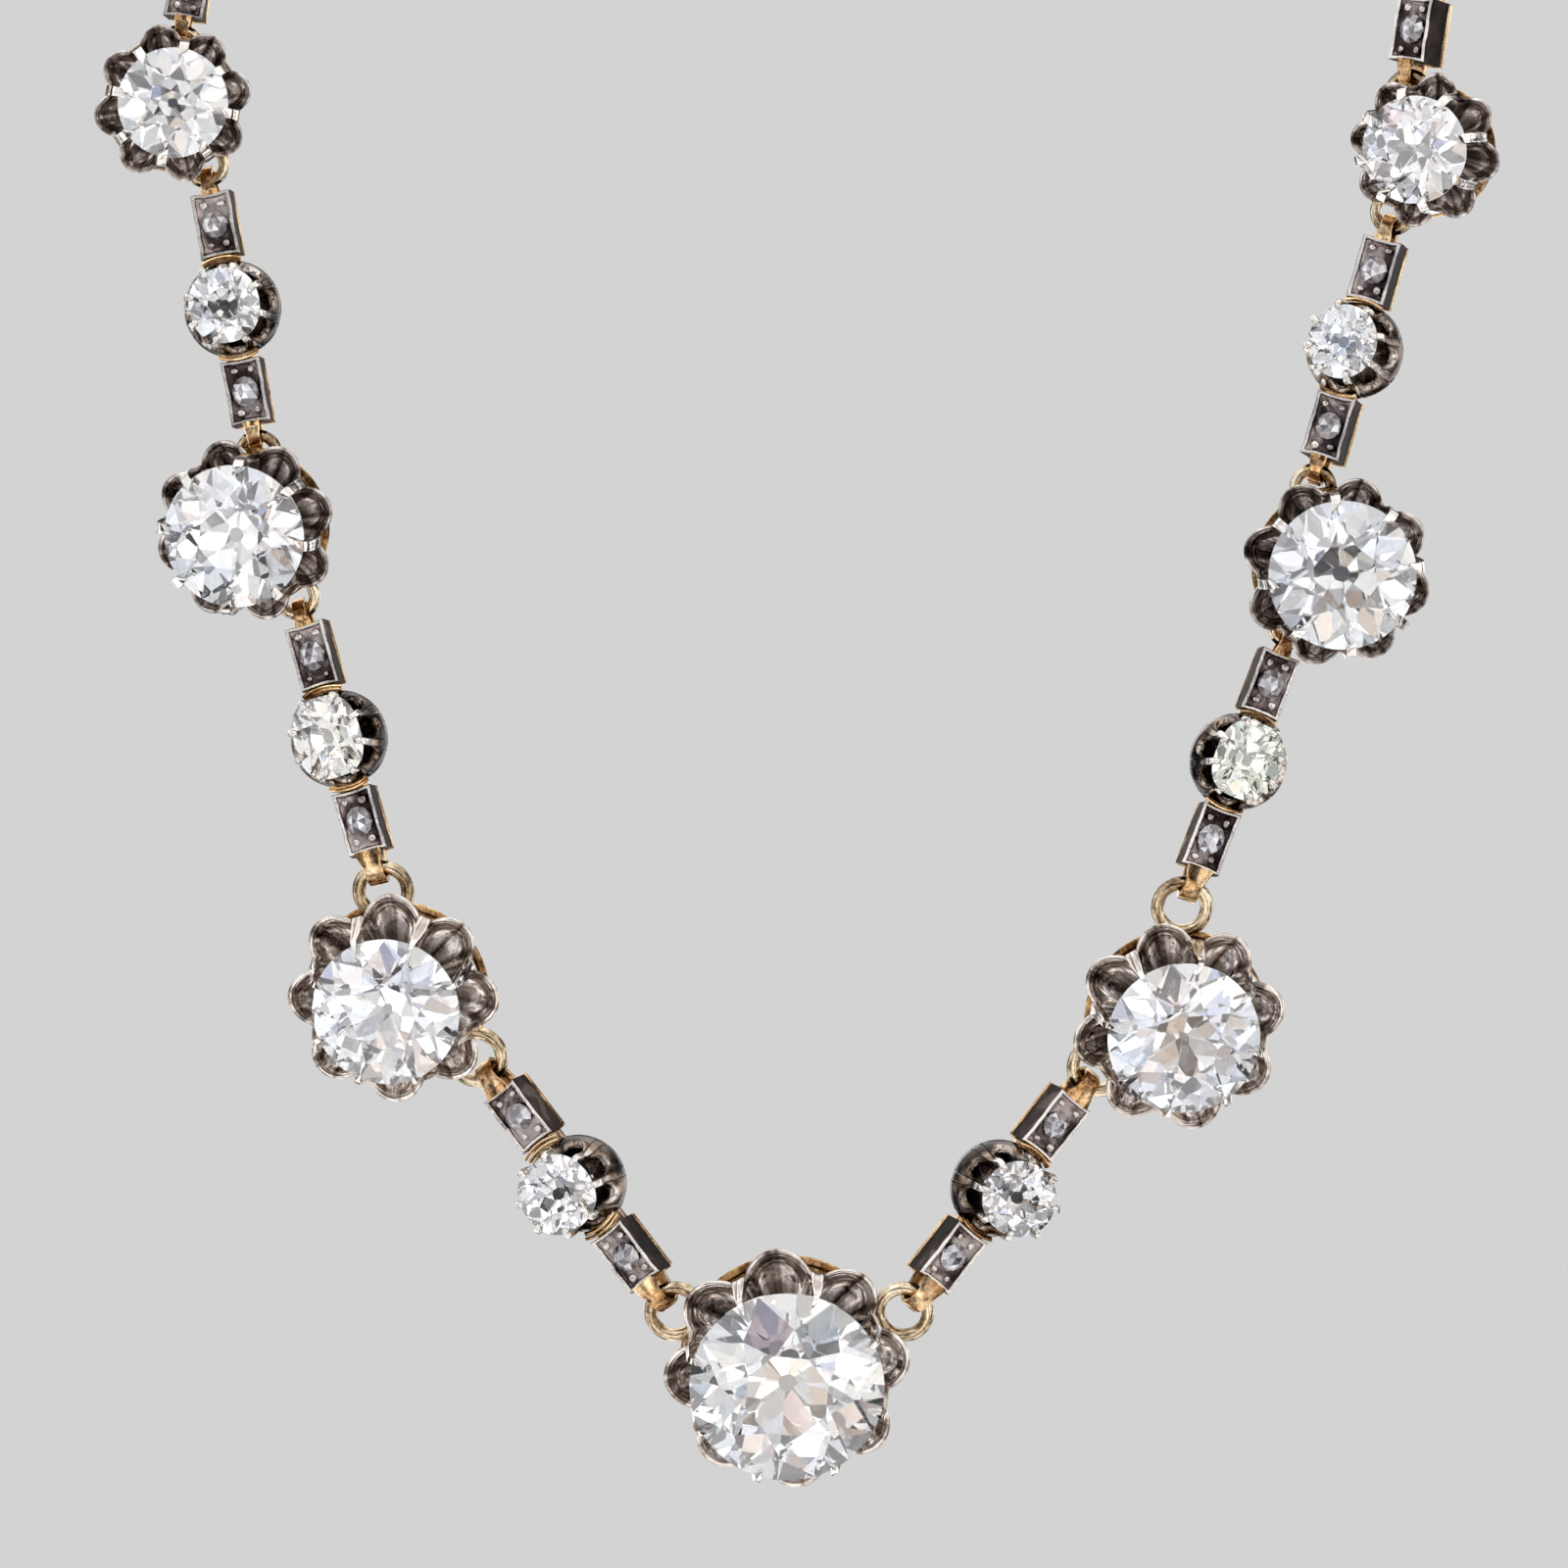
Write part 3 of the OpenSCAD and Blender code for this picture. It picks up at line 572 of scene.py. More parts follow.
# the gold behind the petals: a cone, its rings and straps
goldWork = {"coneTop": 0.285, "coneLow": 0.45, "coneSides": 96, "coneWear": 0.3, "strapHalf": 0.28,
            "ringSides": 40, "wireSides": 14, "waver": 0.012, "ringWear": 0.5, "boxWear": 0.4}


def ringTube(made, r, wire, place):
    around, section, rows = goldWork["ringSides"], goldWork["wireSides"], []
    for i in range(around):
        a = 2 * pi * i / around
        row = []
        for j in range(section):
            b = 2 * pi * j / section
            uneven = noise.noise(Vector((cos(a) * 2.3, sin(a) * 2.3, place.translation.x + j)))
            w = wire / 2 + goldWork["waver"] * uneven
            row.append((cos(a) * (r + w * cos(b)), sin(a) * (r + w * cos(b)), w * sin(b)))
        rows.append(row)
    made.net(rows, goldWork["ringWear"], closeAlong=True, place=place)


def softBox(made, low, high, soft, place):
    # a box with its edges rounded off, as stacked rounded outlines
    def outline(inset, z):
        x0, y0, x1, y1 = low[0] + inset, low[1] + inset, high[0] - inset, high[1] - inset
        r = max(soft - inset, 0.2 * soft)
        corners = ((x1 - r, y1 - r, 0), (x0 + r, y1 - r, 90), (x0 + r, y0 + r, 180), (x1 - r, y0 + r, 270))
        points = []
        for cx, cy, start in corners:
            for i in range(4):
                a = radians(start + 30 * i)
                points.append((cx + r * cos(a), cy + r * sin(a), z))
        return points
    z0, z1 = low[2], high[2]
    levels = [(soft, z0), (0.3 * soft, z0 + 0.3 * soft), (0, z0 + soft),
              (0, z1 - soft), (0.3 * soft, z1 - 0.3 * soft), (soft, z1)]
    made.net([outline(i, z) for i, z in levels], goldWork["boxWear"], capEnds=True, place=place)


def clusterGold(s, k):
    made, rings = Shape(), Shape()
    rp, rim, hook = petalRadius(s, k), rimHeight(s, k), hookOf(k)
    top, low = rim - goldWork["coneTop"] * rp, rim - goldWork["coneLow"] * rp
    # distance out, as a share of the petals', and height
    profile = [(0.8, top - 0.05), (0.81, top), (0.84, top + 0.02), (0.875, top), (0.885, top - 0.07),
               (0.865, top - 0.16), (0.76, mixed(top, low, 0.5)), (0.625, low + 0.08), (0.61, low),
               (0.55, low), (0.535, low + 0.06), (0.67, mixed(top, low, 0.45))]
    turns = [2 * pi * i / goldWork["coneSides"] for i in range(goldWork["coneSides"])]
    cone = [[(share * rp * cos(a), share * rp * sin(a), z) for a in turns] for share, z in profile]
    made.net(cone, goldWork["coneWear"], closeAlong=True)
    # the centre holds the first links of both sides, any other cluster the links below and above it
    below, above = linkRow(s, k) if k else linkRow(1, 1), linkRow(s, k + 1)
    lower = (below["highTurn"], below["highReach"]) if k else (below["lowTurn"], below["lowReach"])
    for angle, reach in (lower, (above["lowTurn"], above["lowReach"])):
        centre = ringIn(s, k, angle, reach)
        ringTube(rings, hook["ring"], hook["wire"], Matrix.Translation(centre))
        if k > 1:
            near, wide = reach * rp - hook["ring"], goldWork["strapHalf"]
            corner = (-wide, min(0.52 * rp, near - 0.1), centre.z - 0.15)
            far = (wide, max(0.6 * rp, near + 0.1), rim - 0.36 * rp)
            softBox(made, corner, far, 0.08, Matrix.Rotation(radians(-angle), 4, "Z"))
    return made, rings


for s in (0, 1):
    for k in range(4):
        if s == 1 and k == 0:
            continue
        name = "centre" if k == 0 else sides[s] + "_" + str(k)
        place, setting = placing(clusterFace(s, k), clusterAt[s, k]), [name + "_setting"]
        # the upper clusters take the darker copy of the silver, as painted shade
        silver = oldSilver if k < 2 else paintedShadeSilver
        finished(clusterSilver(s, k), name + "_petals", place, silver, setting, sharp=50)
        cone, rings = clusterGold(s, k)
        finished(cone, name + "_gallery", place, coneGold, setting)
        finished(rings, name + "_rings", place, ringGold, setting)
print("petal clusters made")

# the set links
links = {"barLength": 2.8, "barWidth": 1.7, "barDepth": 2.0, "edge": 0.17, "sink": 0.22, "grain": 0.16,
         "cup": 2.1, "cupWall": 0.3, "cupBack": 1.0, "mouth": 1.25, "window": 0.62, "windowShare": 0.72,
         "clawOver": 0.18, "bead": 0.15, "beadIn": 0.07, "beadRise": 0.31, "steps": (12, 5),
         "barWaver": 0.035, "strip": 0.2, "hookGap": 0.15, "bailWear": 0.5, "bendSteps": 14,
         "rose": 0.6, "roseMid": 0.56, "roseTop": 0.66,
         # rose facets painted light and dark at random, standing in for their glints and reflections
         "rosePaintedFacetLight": [(1, 1, 1), (0.97, 0.97, 1), (0.7, 0.68, 0.71), (0.45, 0.43, 0.46), (0.9, 0.9, 0.93),
                       (0.26, 0.24, 0.26)]}
girdleUp = necklace["barFront"] + necklace["smallRise"]


def smallSize(s, k):
    row = linkRow(s, k)
    return necklace["smallStone"] * row["wide"], necklace["smallStone"] * row["long"]


def smallRadius(s, k, angle):
    w, l = smallSize(s, k)
    return w * l / sqrt((l * cos(radians(angle))) ** 2 + (w * sin(radians(angle))) ** 2)


def colletColumn(s, k, sector, t, out):
    # one column of the round collet, from its foot to the edge of a window or up a claw
    share, steps = links["windowShare"], links["steps"]
    a, side = abs(t), (1 if t >= 0 else -1)
    size = links["cup"] - (1 - out) * links["cupWall"]
    zCup, up = necklace["barFront"] - links["cupBack"], girdleUp
    u = max(0.0, (a - share) / (1 - share))
    dip = links["window"] * (1 - min(1.0, a / share) ** 2.6)
    zTop = links["mouth"] - dip
    ballR = sqrt(max(size * size - zTop * zTop, 0.01))
    x, y = ballR * cos(halfSector * a), ballR * sin(halfSector * a)
    climb = []
    if u > 0:
        r0 = ballR * cos(halfSector * (1 - share))
        half0 = ballR * sin(halfSector * (1 - share))
        rs = smallRadius(s, k, sectorTurn * (sector + side / 2))
        fat = out * 0.22
        tip = 0.24 + 0.02 * rs
        # up beside the stone and over its edge: distance out, half width and height
        path = [[r0, half0, zCup + links["mouth"]],
                [mixed(r0, rs + 0.05 + fat, 0.7), 0.17 - 0.02 * out, mixed(zCup + links["mouth"], up, 0.5)],
                [rs + 0.05 + fat, 0.15 - 0.02 * out, up - 0.12],
                [rs + 0.03 + 0.9 * fat, 0.14 - 0.02 * out, up + 0.08 + 0.08 * out],
                [rs - links["clawOver"] + 0.06 * out, 0.075, up + tip + 0.09 * out]]
        climb = clawClimb(path, u, half0, steps[1])
        x, y = climb[0][0], climb[0][1]
    flat = Vector((x, y, 0)).length
    rimLat = asin(max(-1.0, min(1.0, zTop / size)))
    count = steps[0] if u > 0 else steps[0] + steps[1]
    column = []
    for i in range(count + 1):
        lat = mixed(-pi / 2 + 0.05, rimLat, i / count)
        r = size * cos(lat)
        column.append((x / flat * r, y / flat * r, zCup + size * sin(lat)))
    column += climb[1:]
    return [Vector((p[0], side * p[1], p[2])) for p in column]


def ball(made, centre, r, wear, squash, place=None):
    around, up = 12, 7
    wide, deep, tall = [share * r for share in squash]
    turns = [2 * pi * j / around for j in range(around)]
    rows = []
    for i in range(1, up):
        lat = -pi / 2 + pi * i / up
        rows.append([(centre[0] + wide * cos(lat) * cos(a), centre[1] + deep * cos(lat) * sin(a),
                      centre[2] + tall * sin(lat)) for a in turns])
    made.net(rows, wear, capEnds=True, place=place)


def colletShape(s, k):
    made = Shape()
    steps, share = links["steps"], links["windowShare"]
    places = placesAcross(share, 4, 6)
    inner, outer = wallsRound(places, lambda i, t, out: colletColumn(s, k, i, t, out), 0, [0] * sectors)
    n = len(inner[0])
    lip = [(a[-1] + b[-1]) / 2 + (a[-1] - a[-2]).normalized() * 0.07 for a, b in zip(inner, outer)]
    rows = list(zip(*inner)) + [lip] + list(zip(*outer))[::-1]
    # the edges of the windows and the claws are worn, the wall isn't
    claw = [eased((abs(t) - share) / (1 - share) * 1.8) for t in places] * sectors
    wear = []
    for i in range(n):
        edge, stem = 0.34 * eased((i - n + 2.4) / 1.4), mixed(0.42, 0.95, eased((i - steps[0]) / 4.5))
        wear += [max(edge, c * stem) for c in claw]
    wear += [mixed(0.6, 1.0, c) for c in claw]
    for i in range(n - 1, -1, -1):
        edge, stem = 0.42 * eased((i - n + 1.9) / 1.1), mixed(0.45, 0.95, eased((i - steps[0]) / 4.5))
        foot = eased((i - steps[0] + 3) / 3)
        wear += [max(edge, c * stem * foot) for c in claw]
    made.net(rows, wear, closeAlong=True)
    # beads on the claws' tips
    for i in range(sectors):
        angle = sectorTurn * (i + 0.5)
        r = smallRadius(s, k, angle) - links["beadIn"]
        spot = (r * cos(radians(angle)), r * sin(radians(angle)), girdleUp + links["beadRise"])
        ball(made, spot, links["bead"], 1.0, (1, 1, 0.85))
    return made


def barShape(made, seed, place):
    # a tray with a thin raised edge; its floor is rough, and two grains stand at each end of the rose
    w, l = links["barWidth"] / 2, links["barLength"] / 2
    front, back = necklace["barFront"], necklace["barFront"] - links["barDepth"]
    edge, floor = links["edge"], front - links["sink"]
    rnd = random.Random(seed)

    def loop(inset, z):
        points = []
        x, y = w - inset, l - inset
        corners = ((x, -y), (x, y), (-x, y), (-x, -y))
        for i in range(4):
            a, b = corners[i], corners[(i + 1) % 4]
            n = 12 if i % 2 == 0 else 8
            for j in range(n):
                f = j / n
                bow = -0.05 * sin(pi * f) * (1 if i % 2 else 0.3)
                px, py = mixed(a[0], b[0], f), mixed(a[1], b[1], f)
                px += (bow if i % 2 == 0 else 0) * (1 if a[0] > 0 else -1)
                py += (bow if i % 2 else 0) * (1 if a[1] > 0 else -1)
                shift = links["barWaver"] * noise.noise(Vector((px * 2.2 + seed * 5.7, py * 2.2, z)))
                points.append((px + shift, py + shift * 0.5, z + shift * 0.6))
        return points
    # inset, height and wear of each outline, from the back over the raised edge and down to the floor; the
    # low values on the back and sides paint shade on them
    levels = [(0.3, back + 0.2, -0.2), (0.02, back + 0.22, -0.2), (0.0, front - 0.9, -0.18),
              (0.0, front - 0.4, -0.17), (0.0, front - 0.07, -0.14), (0.015, front - 0.03, 0.7),
              (0.045, front, 0.85), (edge - 0.04, front, 0.8), (edge - 0.01, front - 0.03, 0.5),
              (edge + 0.02, front - links["sink"] * 0.8, 0.0), (edge + 0.08, floor, 0.0),
              (edge + 0.3, floor - 0.02, 0.08)]
    worn = [wear for inset, z, wear in levels]
    made.net([loop(inset, z) for inset, z, wear in levels], worn, capEnds=True, place=place)
    for x in (-1, 1):
        for y in (-1, 1):
            spotX = x * 0.37 + rnd.uniform(-0.05, 0.05)
            spotY = y * (links["rose"] + 0.29) + rnd.uniform(-0.05, 0.05)
            size = links["grain"] * rnd.uniform(0.9, 1.2)
            squash = (rnd.uniform(0.8, 1.2), rnd.uniform(0.8, 1.25), 0.8)
            ball(made, (spotX, spotY, floor + 0.05), size, 0.62, squash, place)
    # small cut grains that hold the rose at its sides
    for x in (-1, 1):
        ball(made, (x * 0.52, rnd.uniform(-0.15, 0.15), floor + 0.02), 0.1, 0.7, (0.6, 1.3, 0.8), place)


def bailShape(made, k, place):
    hook = hookOf(k)
    h, w, t = hook["bailDepth"], hook["bailWidth"], links["strip"]
    hole = hook["ring"] - hook["wire"] / 2
    far = hook["wire"] / 2 + hole - sqrt(hole * hole - w * w / 4) + links["hookGap"]
    bend, steps, r = hook["reach"] + far - h, links["bendSteps"], h + t / 2
    way = [(-0.1, r)] + [(bend * i / 4, r) for i in range(1, 4)]
    way += [(bend + r * sin(pi * i / steps), r * cos(pi * i / steps)) for i in range(steps + 1)]
    way += [(bend * (1 - i / 4), -r) for i in range(1, 4)] + [(-0.1, -r)]
    # the strip's own outline, with its edges softened
    strip = ((1, -0.6), (1, 0.6), (0.86, 1), (-0.86, 1), (-1, 0.6), (-1, -0.6), (-0.86, -1), (0.86, -1))
    rows = []
    for i, (y, z) in enumerate(way):
        a, b = way[max(i - 1, 0)], way[min(i + 1, len(way) - 1)]
        d = Vector((b[0] - a[0], b[1] - a[1])).normalized()
        n = Vector((-d.y, d.x))
        half = w / 2 + hook["flare"] * (1 - eased((y + 0.1) / (bend + 0.3))) * (1 if z > 0 else 0.6)
        rows.append([(px * half, y + n.x * pn * t / 2, z + n.y * pn * t / 2) for px, pn in strip])
    made.net(rows, links["bailWear"], capEnds=True, place=place)


def linkShapes(s, k):
    half, cupR, front = linkSize(s, k) / 2, links["cup"], necklace["barFront"]
    w, back = links["barWidth"] / 2, front - links["barDepth"]
    start = half - links["barLength"]
    gap = start - cupR
    cup, bars, gold = colletShape(s, k), Shape(), Shape()
    for e in (0, 1):
        spin = Matrix.Rotation(pi * e, 4, "Z")
        barShape(bars, s * 20 + k * 2 + e, spin @ Matrix.Translation((0, half - links["barLength"] / 2, 0)))
        bailShape(gold, k if e == 0 else k - 1, spin @ Matrix.Translation((0, half, 0)))
        # the gold back of the bar, and the piece that joins it to the collet
        softBox(gold, (-w - 0.02, start - 0.02, back), (w + 0.02, half + 0.02, back + 0.34), 0.09, spin)
        softBox(gold, (-0.62, cupR - 0.25, back + 0.2), (0.62, cupR + gap + 0.1, front - 0.38), 0.1, spin)
        # two thin gold arcs where the bar meets the collet
        for r, z, wire in ((cupR + 0.02, front - 0.12, 0.2), (cupR + gap * 0.75, front - 0.02, 0.15)):
            roundWire = [2 * pi * j / 8 for j in range(8)]
            section = [(r + wire / 2 * cos(b), z + wire / 2 * sin(b)) for b in roundWire]
            turns = [radians(90 + (i - 5) * 4.6) for i in range(11)]
            rows = [[(reach * cos(a), reach * sin(a), rise) for reach, rise in section] for a in turns]
            gold.net(rows, 0.6, capEnds=True, place=spin)
    return cup, bars, gold


def roseStones(s, k):
    made, paintedFacetTones = Shape(), []
    r = links["rose"]
    z = necklace["barFront"] - links["sink"] + necklace["stoneGap"]
    for e in (-1, 1):
        rnd = random.Random(s * 31 + k * 7 + e)
        spin = rnd.uniform(0, 60)
        wide, deep = rnd.uniform(0.9, 1.0), rnd.uniform(0.95, 1.12)
        y = e * (linkSize(s, k) - links["barLength"]) / 2
        turns, inner = [radians(30 * i + spin) for i in range(12)], r * links["roseMid"]
        low = [(r * wide * cos(a), y + r * deep * sin(a), z) for a in turns]
        girdle = [(p[0], p[1], z + 0.05) for p in low]
        mid = [(inner * wide * cos(a), y + inner * deep * sin(a), z + r * rnd.uniform(0.42, 0.52))
               for a in turns[::2]]
        tip = [(rnd.uniform(-0.05, 0.05), y + rnd.uniform(-0.05, 0.05), z + r * links["roseTop"])]
        faces = [list(range(11, -1, -1))] + [[i, (i + 1) % 12, 12 + (i + 1) % 12, 12 + i] for i in range(12)]
        for i in range(6):
            a, b, c = 12 + 2 * i, 12 + (2 * i + 1) % 12, 12 + (2 * i + 2) % 12
            m, n = 24 + i, 24 + (i + 1) % 6
            faces += [[a, b, m], [b, n, m], [b, c, n], [m, n, 30]]
        made.add(low + girdle + mid + tip, faces)
        for f in faces:
            paintedFacetTones += [*rnd.choice(links["rosePaintedFacetLight"]), 1.0] * len(f)
    return made, paintedFacetTones


def giveTones(mesh, paintedFacetTones):
    mesh.color_attributes.new("paintedFacetLight", "FLOAT_COLOR", "CORNER").data.foreach_set("color", paintedFacetTones)


for s in (0, 1):
    for k in (1, 2, 3, 4):
        place = placing(linkFace(s, k), linkAt[s, k])
        name = sides[s] + "_link_" + str(k)
        cup, bars, gold = linkShapes(s, k)
        finished(cup, name + "_collet", place, darkSilver, [name], sharp=50)
        finished(bars, name + "_bars", place, barSilver, [name], sharp=35)
        finished(gold, name + "_bails", place, roseGold, [name])
        roses = sides[s] + "_roses_" + str(k)
        shape, paintedFacetTones = roseStones(s, k)
        made = finished(shape, roses + "_cut", place, greyRose, [roses], flat=True)
        giveTones(made.data, paintedFacetTones)
print("links made")

# old cut stones: a round girdle, cut by planes one facet after another as a cutter does
stones = {"table": 0.45, "star": 0.7, "crown": 0.34, "girdle": 0.05, "pavilion": 0.88, "lower": 0.42,
          "culet": 0.09, "smallCulet": 0.15, "handWork": 0.006, "fit": 1.015, "outline": 80,
          # painted light of the facets, standing in for reflections: a dark culet, a pale table, and other
          # facets light, dark, blue and pink
          "paintedCuletShade": (0.06, 0.065, 0.07), "paintedTableLight": (0.93, 0.95, 0.92),
          "paintedFacetTones": [(1, 1, 1), (0.97, 0.98, 1), (0.86, 0.87, 0.9), (0.6, 0.62, 0.66), (0.99, 0.93, 0.87),
                    (0.84, 0.88, 1)],
          "paintedMainTones": [(0.9, 0.91, 0.93), (0.66, 0.69, 0.74), (0.82, 0.75, 0.71), (0.9, 0.89, 0.84),
                        (0.97, 0.97, 0.97), (0.94, 0.95, 1)]}
# what single stones have of their own: turn, culet and its painted shade, bulge, finish and painted tones of
# main facets, which stand in for reflections
ownCuts = {
    "centre_stone": {"turn": 11, "mains": {2: (0.2, 0.24, 0.3), 3: (0.2, 0.13, 0.12), 0: (0.85, 0.76, 0.72),
                                           6: (0.84, 0.78, 0.76)}},
    "left_1_stone": {"culet": 0.07, "mains": {2: (0.45, 0.5, 0.62), 3: (0.8, 0.7, 0.68)}},
    "left_2_stone": {"culet": 0.1},
    "left_3_stone": {"paintedCuletShade": (0.04, 0.04, 0.08)},
    "right_1_stone": {"culet": 0.05, "mains": {3: (0.72, 0.6, 0.58), 5: (0.55, 0.65, 0.85)}},
    "right_2_stone": {"culet": 0.105, "paintedCuletShade": (0.02, 0.02, 0.03),
                      "mains": {2: (0.6, 0.62, 0.66), 1: (0.62, 0.68, 0.85)}},
    "right_3_stone": {"culet": 0.05, "paintedCuletShade": (0.3, 0.1, 0.1),
                      "mains": {3: (0.5, 0.36, 0.36), 5: (0.8, 0.64, 0.62)}},
    "left_small_stone_1": {"cushion": 2.25},
    "left_small_stone_2": {"cushion": 2.7, "finish": warmStone},
    "left_small_stone_3": {"cushion": 2.2},
    "right_small_stone_2": {"cushion": 2.6, "finish": greenStone}}


def outlineAt(angle, power):
    # 1 all round a round stone; a cushion bulges between its sides
    return (abs(cos(angle)) ** power + abs(sin(angle)) ** power) ** (-1 / power)


def facetPlanes(rnd, culet, power):
    cut = stones
    half, mains, shared = cut["girdle"] / 2, radians(sectorTurn), cos(halfSector)

    def at(r, angle, z):
        r *= outlineAt(angle, power)
        return Vector((r * cos(angle), r * sin(angle), z))
    slope = (cut["crown"] - half) / (1 - cut["table"])
    fall = (cut["pavilion"] - half) / (1 - culet)
    planes = [("table", 0, Vector((0, 0, cut["crown"])), Vector((0, 0, 1))),
              ("culet", 0, Vector((0, 0, -cut["pavilion"])), Vector((0, 0, -1)))]

    def facet(kind, i, a, b, c, up):
        n = (b - a).cross(c - a).normalized()
        n = n if n.z * up > 0 else -n
        n += Vector([rnd.uniform(-1, 1) * cut["handWork"] for x in range(3)])
        planes.append((kind, i, (a + b + c) / 3, n.normalized()))
    for i in range(sectors):
        a, m, c = i * mains, (i + 0.5) * mains, (i + 1) * mains
        tip = at(cut["star"], m, half + (1 - cut["star"] * shared) * slope)
        low = at(cut["lower"], m, -half - (1 - cut["lower"] * shared) * fall)
        level, tableEdge = at(1, a + pi / 2, 0), at(cut["table"], a, cut["crown"])
        top, under = [[at(1, angle, z) for angle in (a, m, c)] for z in (half, -half)]
        facet("main", i, top[0], tableEdge, top[0] + level, 1)
        facet("star", i, tableEdge, at(cut["table"], c, cut["crown"]), tip, 1)
        facet("half", 2 * i, top[0], top[1], tip, 1)
        facet("half", 2 * i + 1, top[1], top[2], tip, 1)
        facet("under", i, under[0], at(culet, a, -cut["pavilion"]), under[0] + level, -1)
        facet("underHalf", 2 * i, under[0], under[1], low, -1)
        facet("underHalf", 2 * i + 1, under[1], under[2], low, -1)
    return planes


def cutStone(name, w, l, spin, place, seed):
    own = ownCuts.get(name, {})
    rnd = random.Random(seed)
    cut, around, power = bmesh.new(), stones["outline"], own.get("cushion", 2)
    rims = [(2 * pi * i / around, outlineAt(2 * pi * i / around, power)) for i in range(around)]
    ends = [[cut.verts.new((r * cos(a), r * sin(a), z)) for a, r in rims] for z in (-1, 0.6)]
    cut.faces.new(ends[0][::-1])
    cut.faces.new(ends[1])
    for i in range(around):
        j = (i + 1) % around
        cut.faces.new((ends[0][i], ends[0][j], ends[1][j], ends[1][i]))
    kinds = cut.faces.layers.int.new("kind")
    planes = facetPlanes(rnd, own.get("culet", stones["smallCulet" if "small" in name else "culet"]), power)
    for number, (kind, i, spot, n) in enumerate(planes):
        whole = cut.verts[:] + cut.edges[:] + cut.faces[:]
        done = bmesh.ops.bisect_plane(cut, geom=whole, plane_co=spot, plane_no=n, clear_outer=True)
        rim = [e for e in done["geom_cut"] if isinstance(e, bmesh.types.BMEdge)]
        if rim:
            for face in bmesh.ops.edgeloop_fill(cut, edges=rim)["faces"]:
                face[kinds] = number + 1
    bmesh.ops.recalc_face_normals(cut, faces=cut.faces)
    mesh = bpy.data.meshes.new(name)
    cut.to_mesh(mesh)
    number = [face[kinds] for face in cut.faces]
    cut.free()
    turned = place @ Matrix.Rotation(radians(spin + own.get("turn", 0)), 4, "Z")
    turned = turned @ Matrix.Diagonal((w * stones["fit"], l * stones["fit"], (w + l) / 2, 1))
    for v in mesh.vertices:
        v.co = turned @ v.co
    paintedFacetTones = []
    for face, k in zip(mesh.polygons, number):
        kind, i = planes[k - 1][:2] if k else ("girdle", 0)
        paintedFacetLight = rnd.choice(stones["paintedFacetTones"])
        if kind == "main":
            paintedFacetLight = own.get("mains", {}).get(i, rnd.choice(stones["paintedMainTones"]))
        elif kind == "culet":
            paintedFacetLight = own.get("paintedCuletShade", stones["paintedCuletShade"])
        elif kind == "table":
            paintedFacetLight = stones["paintedTableLight"]
        paintedFacetTones += [*paintedFacetLight, 1.0] * face.loop_total
    giveTones(mesh, paintedFacetTones)
    mesh.materials.append(own.get("finish", clearStone))
    made = added(name + "_cut", mesh)
    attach(made, "root")
    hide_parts(name)


for s in (0, 1):
    for k in range(5):
        if k < 4 and (s == 0 or k > 0):
            name = "centre_stone" if k == 0 else f"{sides[s]}_{k}_stone"
            r, spin = stoneRadius(s, k), -clusterRow(s, k)["clawTurn"] - sectorTurn / 2
            cutStone(name, r, r, spin, placing(clusterFace(s, k), clusterAt[s, k]), 40 + 9 * s + k)
        if k > 0:
            place = placing(linkFace(s, k), linkAt[s, k]) @ Matrix.Translation((0, 0, girdleUp))
            cutStone(f"{sides[s]}_small_stone_{k}", *smallSize(s, k), 0, place, 70 + 9 * s + k)
print("stones cut")

# chains and clasp keep their solids
for name in ("left_back_chain", "right_back_chain", "clasp"):
    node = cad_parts[name]
    node.data.materials.clear()
    node.data.materials.append(chainGold)
    node.data.polygons.foreach_set("use_smooth", [True] * len(node.data.polygons))
    node.data.set_sharp_from_angle(angle=radians(35))
print("chains finished")

# floor, light and camera; the floor's drop and half width are in metres, and so is the camera's distance
studio = {"floorDrop": 0.3, "floorHalf": 30, "floorTone": (0.617, 0.614, 0.611), "sky": 1.0,
          "skyTone": (0.65, 0.65, 0.648), "sensor": 36, "clip": (0.05, 100), "frameWidth": 67.2,
          "distance": 2.0, "aim": (-0.126, -93.4, -87.17)}
# the room that stones and metal mirror: stops and tones of its patches, and its single boards,
# with the direction of each, how near to it the board begins and is full, and its tone
roomStops = (0.45, 0.465, 0.49, 0.53)
roomTones = ((0.02, 0.018, 0.02), (0.14, 0.13, 0.13), (0.5, 0.5, 0.51), (1.5, 1.5, 1.52))
boards = [((0, -1, -0.05), 0.955, 0.965, (0.04, 0.035, 0.04)),
          ((-0.75, -0.6, 0.45), 0.88, 0.93, (0.95, 0.97, 1.02)),
          ((0.7, -0.65, 0.35), 0.9, 0.94, (1.0, 0.97, 0.92)),
          ((0.1, -0.45, 0.9), 0.82, 0.88, (1.05, 1.05, 1.05)),
          ((0.2, -0.9, -0.5), 0.96, 0.98, (0.75, 0.6, 0.5)),
          ((0, -0.15, -1), 0.87, 0.91, (1.1, 1.1, 1.12)),
          ((-0.35, -0.88, 0.35), 0.988, 0.993, (0.66, 0.72, 0.95)),
          ((0, 0.3, 1), 0.6, 0.8, (1.25, 1.25, 1.25))]


